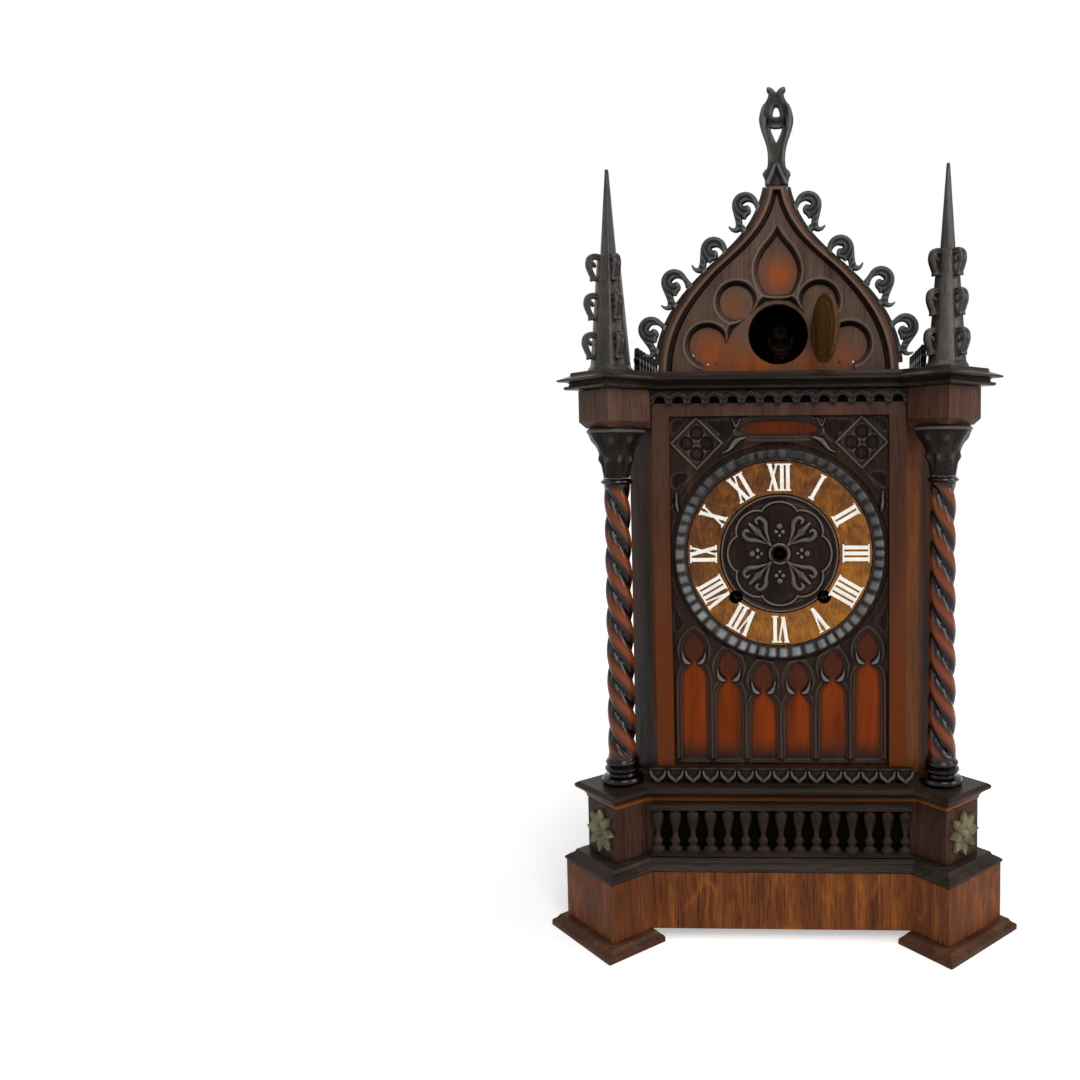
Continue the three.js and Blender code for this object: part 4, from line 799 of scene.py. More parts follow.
@dataclass(frozen=True)
class Wood:
    """Waxed wood: streaks along the grain, pores, rays, a warmer ground, hollows painted dark as shade, and
    rubbed ridges lightened with a painted highlight.
    """

    name: str
    deep: Colour
    body: Colour
    light: Colour
    grain: Axis = Axis.UP
    ground: Colour | None = None
    shade: Colour = (92, 44, 16)
    edge: Colour = (100, 88, 80)
    rays: float = 0.0
    pores: float = 0.6
    rough: float = 0.42
    coat: float = 0.0
    gloss: float = 0.07
    figure: float = 60.0
    colour_bands: tuple[ColourBand, ...] = ()

    def material(self) -> Material:
        """Builds the material.

        Returns:
            The new material.
        """
        bench = Bench(self.name)

        def scale(across: float, along: float) -> list[float]:
            """A noise scale drawn out along the grain."""
            return [along if axis == self.grain.value else across for axis in range(3)]

        figure = bench.noise(scale(self.figure, self.figure / 9), 3, 0.6)
        fibre = bench.noise(scale(900, 26), 3)
        streak = bench.sum("ADD", bench.sum("MULTIPLY", figure, 0.62), bench.sum("MULTIPLY", fibre, 0.38))
        colour = bench.ramp(streak, [(0.27, self.deep), (0.5, self.body), (0.74, self.light)])
        if self.rays:
            fleck = bench.noise(scale(40, 15), 1, 0.3)
            band = bench.sum("ABSOLUTE", bench.sum("SUBTRACT", fleck, 0.5), 0)
            share = bench.ranged(band, 0.004, 0.05, self.rays, 0)
            few = bench.ranged(bench.noise((24, 24, 24), 2), 0.46, 0.6, 0, 1)
            colour = bench.mix(bench.sum("MULTIPLY", share, few), colour, linear(self.light))
        pore = bench.noise(scale(1500, 55), 2)
        dark = bench.ranged(pore, 0.36, 0.46, self.pores, 0)
        colour = bench.mix(dark, colour, linear(self.deep), "MULTIPLY")
        if self.ground is not None:
            warm = bench.mix(bench.ranged(figure, 0.36, 0.66, 0, 1), linear(self.ground), linear(self.shade))
            colour = bench.mix(bench.ranged(bench.carried("tint"), 0, 1, 0, 1), colour, warm)
        for colour_band in self.colour_bands:
            place = bench.node("SeparateXYZ", {0: bench.node("TexCoord").outputs["Object"]})
            share = bench.ranged(place.outputs[colour_band.axis.value], colour_band.start * MM, colour_band.end * MM, 0, 1)
            share = bench.sum("MULTIPLY", share, bench.ranged(figure, 0.3, 0.56, 0.6, 1))
            colour = bench.mix(share, colour, linear(colour_band.colour))
        # Painted shade: a negative tint darkens sunk hollows and slopes towards the deep colour
        painted_hollow_shade = bench.ranged(bench.carried("tint"), -1, 0, 0.95, 0)
        colour = bench.mix(painted_hollow_shade, colour, linear(self.deep), "MULTIPLY")
        # Raised ridges take the edge colour, partly rubbed wear and partly painted highlight; hollows take
        # the deep colour as painted shade
        wear_and_painted_light = bench.carried("wear_and_painted_light")
        rub_and_sheen = bench.ranged(wear_and_painted_light, 0.08, 0.95, 0, 0.8)
        colour = bench.mix(rub_and_sheen, colour, linear(self.edge))
        colour = bench.mix(bench.ranged(wear_and_painted_light, -0.8, -0.06, 0.85, 0), colour, linear(self.deep), "MULTIPLY")
        rough = bench.ranged(fibre, 0.3, 0.7, self.rough - 0.08, self.rough + 0.1)
        rough = bench.sum("SUBTRACT", rough, bench.sum("MULTIPLY", rub_and_sheen, 0.1))
        bench.relief(bench.sum("SUBTRACT", fibre, dark), 0.35, 0.12)
        return bench.surface(
            base_color=colour, roughness=rough, coat_weight=self.coat, coat_roughness=0.2,
            specular_ior_level=self.gloss,
        )


@dataclass(frozen=True)
class Burr:
    """Golden veneer with slanting streaks, darker towards the upper left of the dial."""

    name: str
    deep: Colour
    body: Colour
    light: Colour
    middle: float = 0.317

    def material(self) -> Material:
        """Builds the material.

        Returns:
            The new material.
        """
        bench = Bench(self.name)
        cloud = bench.noise((48, 48, 48), 5, 1.8)
        streak = bench.noise((430, 40, 110), 4, 1.2)
        place = bench.node("SeparateXYZ", {0: bench.node("TexCoord").outputs["Object"]}).outputs
        slope = bench.sum("SUBTRACT", place["X"], place["Z"])
        slope = bench.ranged(slope, -self.middle - 0.1, -self.middle + 0.1, -0.1, 0.1)
        share = bench.sum("ADD", bench.sum("MULTIPLY", cloud, 0.5), bench.sum("MULTIPLY", streak, 0.5))
        share = bench.sum("ADD", share, slope)
        colour = bench.ramp(share, [(0.34, self.deep), (0.5, self.body), (0.68, self.light)])
        bench.relief(streak, 0.15, 0.08)
        return bench.surface(base_color=colour, roughness=0.4, specular_ior_level=0.2)


@dataclass(frozen=True)
class Metal:
    """Old metal, dulled in patches."""

    name: str
    bright: Colour
    dull: Colour
    rough: float = 0.32
    metallic: float = 1.0

    def material(self) -> Material:
        """Builds the material.

        Returns:
            The new material.
        """
        bench = Bench(self.name)
        patch = bench.noise((70, 70, 70), 5, 0.5)
        scratch = bench.noise((1400, 90, 90), 2)
        share = bench.ranged(patch, 0.4, 0.65, 0, 1)
        colour = bench.mix(share, linear(self.bright), linear(self.dull))
        rough = bench.ranged(bench.sum("ADD", patch, scratch), 0.7, 1.3, self.rough - 0.1, self.rough + 0.16)
        bench.relief(scratch, 0.12, 0.04)
        return bench.surface(base_color=colour, roughness=rough, metallic=self.metallic)


@dataclass(frozen=True)
class Bone:
    """Yellowed bone with a faint grain, as the dial's numerals are made of."""

    name: str
    pale: Colour
    aged: Colour

    def material(self) -> Material:
        """Builds the material.

        Returns:
            The new material.
        """
        bench = Bench(self.name)
        cloud = bench.noise((160, 160, 160), 4, 0.6)
        line = bench.noise((1200, 200, 200), 2)
        colour = bench.mix(bench.ranged(cloud, 0.38, 0.66, 0, 1), linear(self.pale), linear(self.aged))
        bench.relief(line, 0.12, 0.05)
        rough = bench.ranged(cloud, 0.3, 0.7, 0.36, 0.52)
        return bench.surface(base_color=colour, roughness=rough, specular_ior_level=0.5)


@dataclass(frozen=True)
class Hide:
    """Thin leather, and the near-black matt stuff that stands in for shade; both a little mottled."""

    name: str
    pale: Colour
    dark: Colour

    def material(self) -> Material:
        """Builds the material.

        Returns:
            The new material.
        """
        bench = Bench(self.name)
        crease = bench.noise((700, 700, 700), 5, 0.4)
        cloud = bench.noise((60, 60, 60), 3)
        colour = bench.mix(bench.ranged(cloud, 0.35, 0.65, 0, 1), linear(self.pale), linear(self.dark))
        bench.relief(crease, 0.4, 0.2)
        return bench.surface(base_color=colour, roughness=0.85, specular_ior_level=0.02)


@dataclass(frozen=True)
class Paint:
    """The bird's old paint, with bars where the points are tinted."""

    name: str
    coat: Colour
    marks: Colour
    bars: Colour

    def material(self) -> Material:
        """Builds the material.

        Returns:
            The new material.
        """
        bench = Bench(self.name)
        rub = bench.noise((220, 220, 220), 5, 0.3)
        colour = bench.mix(bench.ranged(rub, 0.5, 0.64, 0, 1), linear(self.coat), linear(self.marks))
        colour = bench.mix(bench.carried("tint"), colour, linear(self.bars))
        bench.relief(rub, 0.25, 0.15)
        return bench.surface(base_color=colour, roughness=bench.ranged(rub, 0.3, 0.7, 0.48, 0.66))


class Finish(Enum):
    """Every finish on the clock."""

    # Each wood's edge colour on raised ridges is partly rubbed wear and partly painted highlight; the grey
    # tones of the scroll finish are lifted to stand partly for painted sheen
    CARVED = Wood(
        "carved_oak", (12, 7, 5), (42, 27, 20), (64, 44, 34), ground=(134, 52, 2), shade=(84, 33, 3),
        edge=(122, 116, 110), rough=0.3,
    )
    TRIM = Wood("trim_oak", (12, 9, 8), (36, 30, 27), (56, 48, 44), Axis.ACROSS, edge=(98, 95, 92), rough=0.3)
    SCROLL = Wood("scroll_oak", (12, 11, 10), (41, 39, 37), (62, 59, 56), edge=(114, 113, 110), rough=0.3)
    BEAD = Wood(
        "bead_oak", (12, 10, 9), (46, 41, 39), (66, 60, 58), edge=(146, 148, 150), rough=0.28, gloss=0.15,
    )
    SPIRE = Wood("spire_oak", (24, 21, 19), (58, 54, 50), (84, 79, 74), rough=0.26, gloss=0.2)
    RAIL = Wood("rail_oak", (14, 9, 7), (44, 33, 27), (68, 54, 46), Axis.ACROSS, rough=0.3)
    STILE = Wood(
        "stile_oak", (42, 27, 20), (72, 50, 40), (94, 68, 54), pores=0.35,
        colour_bands=(ColourBand((98, 45, 12), Axis.UP, 400, 200),),
    )
    HOOD = Wood(
        "hood_oak", (40, 26, 19), (74, 53, 42), (96, 72, 58), edge=(136, 112, 94), pores=0.3, rough=0.36,
    )
    CUSP = Wood("cusp_oak", (20, 14, 11), (84, 66, 56), (104, 84, 72), edge=(122, 106, 94), pores=0.25)
    BLOCK = Wood("block_oak", (48, 28, 21), (78, 52, 41), (98, 72, 58), rough=0.36)
    BOARD = Wood("board_oak", (20, 15, 12), (46, 38, 33), (70, 59, 51), Axis.ACROSS, rough=0.32)
    # The ledge's orange lower band is partly its own colour and partly painted light on the fascia where the
    # light catches it
    LEDGE = Wood(
        "ledge_oak", (22, 15, 11), (46, 35, 28), (72, 55, 43), Axis.ACROSS, rough=0.32,
        colour_bands=(ColourBand((122, 68, 26), Axis.UP, 117, 114),),
    )
    PEDESTAL = Wood("pedestal_oak", (34, 20, 14), (60, 39, 30), (82, 57, 45))
    FIELD = Wood(
        "field_oak", (66, 49, 40), (90, 70, 58), (108, 86, 72), ground=(158, 76, 22), shade=(124, 60, 20),
        rough=0.5, pores=0.3,
    )
    ROPE = Wood(
        "column_oak", (12, 7, 6), (40, 21, 14), (62, 34, 22), edge=(152, 66, 8), rough=0.16, coat=0.14,
        gloss=0.16,
    )
    BASE = Wood("base_oak", (70, 37, 19), (106, 59, 31), (164, 98, 42), rays=0.38)
    FOOT = Wood("foot_oak", (42, 26, 17), (74, 48, 33), (108, 76, 54), Axis.ACROSS)
    # The near-black bands on both flanks of the carcase are painted shade, the deep shadow between the
    # columns and the case
    SIDE = Wood(
        "side_oak", (62, 33, 13), (106, 58, 22), (142, 84, 36),
        colour_bands=(ColourBand((15, 11, 9), Axis.ACROSS, 116, 121), ColourBand((13, 10, 10), Axis.ACROSS, -106, -112)),
    )
    ROOF = Wood("roof_oak", (26, 17, 12), (50, 35, 27), (74, 54, 42), Axis.BACK, rough=0.5)
    DOOR = Wood("door_oak", (44, 28, 12), (74, 49, 22), (96, 66, 32), rough=0.46)
    PALE = Wood("pale_board", (126, 88, 52), (168, 126, 82), (196, 158, 112), rough=0.62)
    VENEER = Burr("golden_veneer", (66, 33, 6), (112, 66, 16), (158, 100, 30))
    NUMERAL = Bone("bone", (250, 248, 242), (238, 232, 216))
    GILT = Metal("old_gilt", (104, 98, 64), (62, 56, 38), 0.5, 0.25)
    BRASS = Metal("old_brass", (190, 152, 78), (158, 122, 60))
    STEEL = Metal("dull_steel", (150, 152, 156), (84, 82, 80))
    BLUED = Metal("blued_steel", (24, 24, 28), (14, 13, 14), 0.5)
    # Near-black matt sheet of painted shade behind the balusters and the arcade and inside the dial's holes
    CLOTH = Hide("dark_shade_sheet", (9, 7, 6), (5, 4, 4))
    LEATHER = Hide("leather", (186, 160, 124), (128, 100, 68))
    PLUMAGE = Paint("bird_paint", (40, 34, 29), (56, 47, 39), (128, 118, 100))

    def material(self) -> Material:
        """The finish's material, built the first time that it is asked for."""
        return bpy.data.materials.get(self.value.name) or self.value.material()


# Pieces


def make_piece(
    name: str,
    shape: Shape,
    finish: Finish,
    nodes: Sequence[str] = (),
    body: str | None = CASE,
    crease: float = 38.0,
) -> bpy.types.Object:
    """Makes a Blender object of a shape and hangs it on the frame.

    Args:
        name: the piece's name.
        shape: its points and faces, in millimetres.
        finish: its finish.
        nodes: CAD nodes that it stands for.
        body: CAD body that it rides on; none leaves the piece on no body.
        crease: angle in degrees above which an edge stays sharp.

    Returns:
        The new object.
    """
    mesh = bpy.data.meshes.new(name)
    mesh.vertices.add(len(shape.points))
    mesh.vertices.foreach_set("co", (shape.points * MM).astype(np.float32).ravel())
    loops = np.concatenate([shape.quads.ravel(), shape.tris.ravel()]).astype(np.int32)
    quads, tris = len(shape.quads), len(shape.tris)
    starts = np.concatenate([4 * np.arange(quads), 4 * quads + 3 * np.arange(tris)]).astype(np.int32)
    mesh.loops.add(len(loops))
    mesh.loops.foreach_set("vertex_index", loops)
    mesh.polygons.add(quads + tris)
    mesh.polygons.foreach_set("loop_start", starts)
    mesh.polygons.foreach_set("use_smooth", np.ones(quads + tris, bool))
    mesh.update(calc_edges=True)
    mesh.validate()
    mesh.set_sharp_from_angle(angle=math.radians(crease))
    for label, values in (("tint", shape.tint), ("wear_and_painted_light", shape.wear_and_painted_light)):
        if values.any():
            carried = mesh.attributes.new(label, "FLOAT", "POINT")
            carried.data.foreach_set("value", values.astype(np.float32))
    mesh.materials.append(finish.material())
    made = bpy.data.objects.new(name, mesh)
    bpy.context.scene.collection.objects.link(made)
    if body:
        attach(made, body)
    if nodes:
        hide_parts(*nodes)
    log.info("%s: %d points on %s", name, len(shape.points), body)
    return made


def dress_node(node: bpy.types.Object, finish: Finish, edge: float) -> None:
    """Gives a CAD node its finish and breaks its sharp edges.

    Args:
        node: the CAD node's object.
        finish: its finish.
        edge: width of the broken edges, in millimetres; none if it is nought.
    """
    node.data.materials.clear()
    node.data.materials.append(finish.material())
    if edge:
        weld = node.modifiers.new("weld", "WELD")
        weld.merge_threshold = HAIR * MM
        bevel = node.modifiers.new("broken_edges", "BEVEL")
        bevel.width = edge * MM
        bevel.segments = 2
        bevel.limit_method = "ANGLE"
        bevel.angle_limit = math.radians(BROKEN_ANGLE)
        bevel.harden_normals = True
    log.info("%s: CAD node in %s", node.name, finish.name.lower())


@dataclass
class CaseWork:
    """The plain boards of the case and the parts inside, whose CAD solids show."""

    edge: float = 0.7
    fine_edge: float = 0.25

    def dress(self, nodes: dict[str, bpy.types.Object]) -> None:
        """Gives every CAD node that stays in view its finish.

        Args:
            nodes: the frame's objects by name.
        """
        plain = {
            Finish.BOARD: ["base_moulding", "cornice"],
            Finish.LEDGE: ["pedestal_ledge"],
            Finish.BASE: ["base_plinth"],
            Finish.FOOT: ["foot_front_left", "foot_front_right", "foot_rear_left", "foot_rear_right"],
            Finish.STILE: ["front_frame"],
            Finish.PEDESTAL: ["pedestal_stage"],
            Finish.BLOCK: ["frieze_block_left", "frieze_block_right"],
            Finish.SIDE: ["case_carcase"],
            Finish.ROOF: ["gable_roof"],
            Finish.DOOR: ["bird_door"],
            Finish.PALE: ["back_door", "guide_rail", "pipe_left", "pipe_right", "bellows_lid_left",
                          "bellows_lid_right"],
        }
        fine = {
            Finish.VENEER: ["chapter_ring"],
            Finish.BRASS: ["front_plate", "back_plate", "time_barrel", "strike_barrel",
                           "third_arbor", "escape_arbor", "strike_arbor", "pendulum", "turn_button"],
            Finish.STEEL: ["verge", "hammer", "gong"],
            Finish.BLUED: ["time_winding_arbor", "strike_winding_arbor", "centre_arbor"],
        }
        for groups, edge in ((plain, self.edge), (fine, self.fine_edge)):
            for finish, names in groups.items():
                for name in names:
                    dress_node(nodes[name], finish, edge)


@dataclass
class Columns:
    """Two rope-twisted columns on turned bases, under bell capitals with leaves."""

    strands: int = 3
    lead: float = 75.6
    groove: float = 3.7
    foot_radius: float = 12.0
    head_radius: float = 10.6
    base_height: float = 22.2
    neck_height: float = 5.0
    sides: int = 72
    row: float = 1.3
    leaves: int = 8
    bell_sides: int = 96
    disc_height: float = 4.4

    def shaft(self, bottom: float, top: float) -> Shape:
        """The column from its turned base to the collar at its neck, about x = y = 0.

        Args:
            bottom: height of the foot.
            top: height of the neck.

        Returns:
            The closed shape.
        """
        turning = [
            (15.8, 0), (16.9, 0.6), (17.5, 2.2), (17.3, 4), (16.4, 5.6), (13.6, 6.4), (12.4, 7.2),
            (11.9, 8.8), (12.5, 10.2), (14.0, 10.9), (14.8, 12), (14.5, 13.4), (13.2, 14.3), (12.4, 14.8),
            (12.6, 15.6), (13.6, 16.4), (14.1, 17.8), (13.7, 19.2), (12.6, 20.2), (12.1, 21.2),
        ]
        start, end = bottom + self.base_height, top - self.neck_height
        rows = round((end - start) / self.row)
        heights = np.linspace(start, end, rows + 1)
        shares = (heights - start) / (end - start)
        plain = self.foot_radius + (self.head_radius - self.foot_radius) * shares
        fade = step(heights, start, start + 7) * step(-heights, -end, -end + 7)
        collar = [(10.6, 0.2), (12.3, 0.8), (13, 1.8), (12.7, 3), (11.4, 3.8), (10.8, 5)]
        angles = bearings(self.sides)
        twist = angles[None, :] + 2 * np.pi * heights[:, None] / self.lead
        hollow = 1 - np.abs(np.cos(self.strands * twist / 2)) ** 0.62
        radius = plain[:, None] - self.groove * fade[:, None] * hollow
        below = np.array([[r, bottom + z] for r, z in turning])
        above = np.array([[r, end + z] for r, z in collar])
        around = np.ones(self.sides)
        radii = np.vstack([below[:, :1] * around, radius, above[:, :1] * around])
        levels = np.concatenate([below[:, 1], heights, above[:, 1]])[:, None] * around
        # The turned base and collar are darkened in their own black; on the shaft the crests of the strands
        # are lightened as rubbed wear with painted highlight, and the grooves darkened as painted shade
        wear_and_painted_light = np.full(radii.shape, -0.8)
        wear_and_painted_light[len(below):len(below) + len(heights)] = 2.6 * fade[:, None] * (0.26 - hollow)
        return rounded(radii, levels, wear_and_painted_light=wear_and_painted_light)

    def capital(self, bottom: float, top: float) -> Shape:
        """A bell with two tiers of leaves under a moulded disc, about x = y = 0.

        Args:
            bottom: height of the bell's foot.
            top: height of the disc.

        Returns:
            The closed shape.
        """
        disc_foot = top - self.disc_height
        bell = flowing([(10.6, 0), (11.2, 0.16), (12.6, 0.42), (15.4, 0.68), (19.6, 0.88), (22.4, 1)], 9)
        angles = bearings(self.bell_sides)
        share = bell[:, 1][:, None]
        ridge = np.abs(np.cos(self.leaves * angles / 2)) ** 0.7
        between = np.abs(np.sin(self.leaves * angles / 2)) ** 0.7
        upper = 0.9 * step(share, 0.3, 0.7) * (ridge - 0.5) + 1.4 * bump(share, 0.84, 0.1) * ridge**6
        lower = 0.8 * step(share, 0.02, 0.2) * step(-share, -0.62, -0.4) * (between - 0.5)
        curl = 2.0 * bump(share, 0.42, 0.09) * between**6
        carving = upper + lower + curl
        heights = bottom + share * (disc_foot - bottom) + 0 * angles
        rim = np.array([
            (21.8, 0), (23.2, 0.5), (23.9, 1.6), (23.5, 2.7), (22.6, 3.1), (22.4, 3.9),
            (21.6, self.disc_height),
        ])
        radii = np.vstack([bell[:, :1] + carving, rim[:, :1] + 0 * angles])
        heights = np.vstack([heights, disc_foot + rim[:, 1:] + 0 * angles])
        # Painted highlight on the rim's roll; the leaves' ridges painted lighter and their grooves darker, as
        # highlight and shade
        sheen_and_shade = bump(rim[:, :1], 23.9, 0.6) + 0 * angles
        wear_and_painted_light = np.clip(np.vstack([0.4 * carving - 0.3, sheen_and_shade]), -1, 1)
        return rounded(radii, heights, wear_and_painted_light=wear_and_painted_light)

    def build(self) -> None:
        """Makes both columns and both capitals."""
        for side in ("left", "right"):
            column = Span.of(f"column_{side}")
            capital = Span.of(f"capital_{side}")
            x, y, _ = column.middle
            shaft = self.shaft(column.bottom, column.top).at(x, y)
            make_piece(f"twisted_column_{side}", shaft, Finish.ROPE, [f"column_{side}"])
            bell = self.capital(capital.bottom, capital.top).at(x, y)
            make_piece(f"leafy_capital_{side}", bell, Finish.TRIM, [f"capital_{side}"])


@dataclass
class Pedestals:
    """The balustrade before a near-black sheet of painted shade, the rosettes and the row of hanging leaves.
    """

    balusters: int = 15
    flatness: float = 0.62
    foot_rail: float = 4.0
    head_rail: float = 5.5
    daggers: int = 15
    petals: int = 8
    petal_half: float = 4.4
    petal_point: float = 1.15
    petal_join: float = 0.62
    end_room: float = 5.9
    shade_sheet_inset: float = 2.0
    shade_sheet_gap: float = 0.05

    def balustrade(self) -> Shape:
        """Two rails with turned, flattened balusters between them.

        Returns:
            Rails and balusters as one shape.
        """
        span = Span.of("balustrade")
        foot, head = span.bottom + self.foot_rail, span.top - self.head_rail
        rails = [
            block((span.left, span.front, span.bottom), (span.right, span.back, foot), 0.8),
            block((span.left, span.front, head), (span.right, span.back, span.top), 0.8),
        ]
        vase = flowing([
            (5.6, 0), (5.8, 0.06), (5.2, 0.11), (2.7, 0.16), (3.2, 0.19), (4.1, 0.24), (4.0, 0.3),
            (2.6, 0.35), (2.1, 0.42), (2.5, 0.52), (3.9, 0.66), (4.9, 0.78), (5.0, 0.88), (4.2, 0.93),
            (3.4, 0.95), (4.6, 0.98), (4.8, 1),
        ], 3)
        height = head - foot + 1
        upright = turned([(r, foot - 0.5 + share * height) for r, share in vase], 20)
        upright = upright.placed(Matrix.Diagonal((1, self.flatness, 1, 1)))
        reach = span.right - self.end_room
        places = np.linspace(-reach, reach, self.balusters)
        return joined(rails + [upright.at(x, (span.front + span.back) / 2) for x in places])

    def rosette(self, radius: float) -> Shape:
        """A flower of eight pointed petals round a button, facing the front at the origin.

        Args:
            radius: reach of the petals.

        Returns:
            The closed shape.
        """

        def petal(x: Array, z: Array) -> tuple[Array, Array]:
            """How far a place lies inside its petal's edge, and from its rib."""
            turn = np.arctan2(z, x)
            part = 2 * np.pi / self.petals
            turn = turn - np.round(turn / part) * part
            far = np.hypot(x, z)
            along, across = far * np.cos(turn), np.abs(far * np.sin(turn))
            wide = self.petal_half * np.sin(np.pi * np.clip(along / radius, 0, 1) ** self.petal_point)
            return wide - across, across

        def front(x: Array, z: Array) -> Array:
            """Depth of the petals and the button."""
            inside, across = petal(x, z)
            far = np.hypot(x, z)
            rib = 1.2 + bump(inside, 0.9, 0.7) + 0.8 * bump(across, 0, 0.6)
            cup = step(inside, 0, 1.2) * rib * step(far, 3, 6)
            button = 3.6 * np.sqrt(np.clip(1 - (far / 4.4) ** 2, 0, 1))
            return -1.0 - np.maximum(cup, button)

        outline = united([lambda x, z: -petal(x, z)[0], disc(0, 0, self.petal_join * radius)])
        reach = radius + 1
        return carved_board((-reach, reach, -reach, reach), 0.45, outline, front, level(0))

    def daggers_row(self) -> Shape:
        """A strip with pointed leaves hanging from it, each edged by a raised rib.

        Returns:
            The closed shape.
        """
        span = Span.of("dagger_trim")
        pitch = (span.right - span.left) / self.daggers
        wide = pitch / 2
        strip = oblong(span.left, span.right, span.top - 5.4, span.top)
        head, shoulder = span.top - 1, span.top - 6.6
        leaf = polygon([(-wide, head), (-wide, shoulder), (0, span.bottom), (wide, shoulder), (wide, head)])
        leaves = repeated(leaf, pitch, self.daggers)
        half = [
            (0.84 * wide, span.top - 2.6, 1.1), (0.7 * wide, span.top - 6, 1.6),
            (0.34 * wide, span.bottom + 4, 1.9),
        ]
        drop = curved([(-x, z, r) for x, z, r in half] + [(0, span.bottom + 2.2, 2.1)] + half[::-1])
        zigzag = repeated(drop, pitch, self.daggers)

        def front(x: Array, z: Array) -> Array:
            """Depth of the ribs and the lip."""
            lip = 1.2 * step(z, span.top - 1.8, span.top - 1.2)
            return span.front + 2.8 - np.maximum(2.6 * domed(zigzag(x, z), 1.7), lip)

        return carved_board(span.face, 0.5, united([strip, leaves]), front, level(span.back))

    def build(self) -> None:
        """Makes the balustrade, the near-black sheet of painted shade behind it, the leaves and both
        rosettes.
        """
        make_piece("turned_balustrade", self.balustrade(), Finish.RAIL, ["balustrade"])
        # Painted shade: a near-black sheet behind the balusters, so that the gaps look dark
        shade_sheet = shade_backing("balustrade", self.shade_sheet_inset, self.shade_sheet_gap)
        make_piece("baluster_shade_sheet", shade_sheet, Finish.CLOTH)
        make_piece("hanging_leaves", self.daggers_row(), Finish.TRIM, ["dagger_trim"], crease=60)
        for side, sign in (("left", -1), ("right", 1)):
            span = Span.of(f"rosette_{side}")
            radius = span.reach
            turn = Matrix.Rotation(sign * math.pi / 4, 4, "Z")
            drop = (span.right - span.left) / 2 - radius / math.sqrt(2)
            x, y, z = span.middle
            x, y = x - sign * drop, y + drop
            carved = self.rosette(radius).placed(Matrix.Translation((x, y, z)) @ turn)
            make_piece(f"carved_rosette_{side}", carved, Finish.GILT, [f"rosette_{side}"], crease=60)


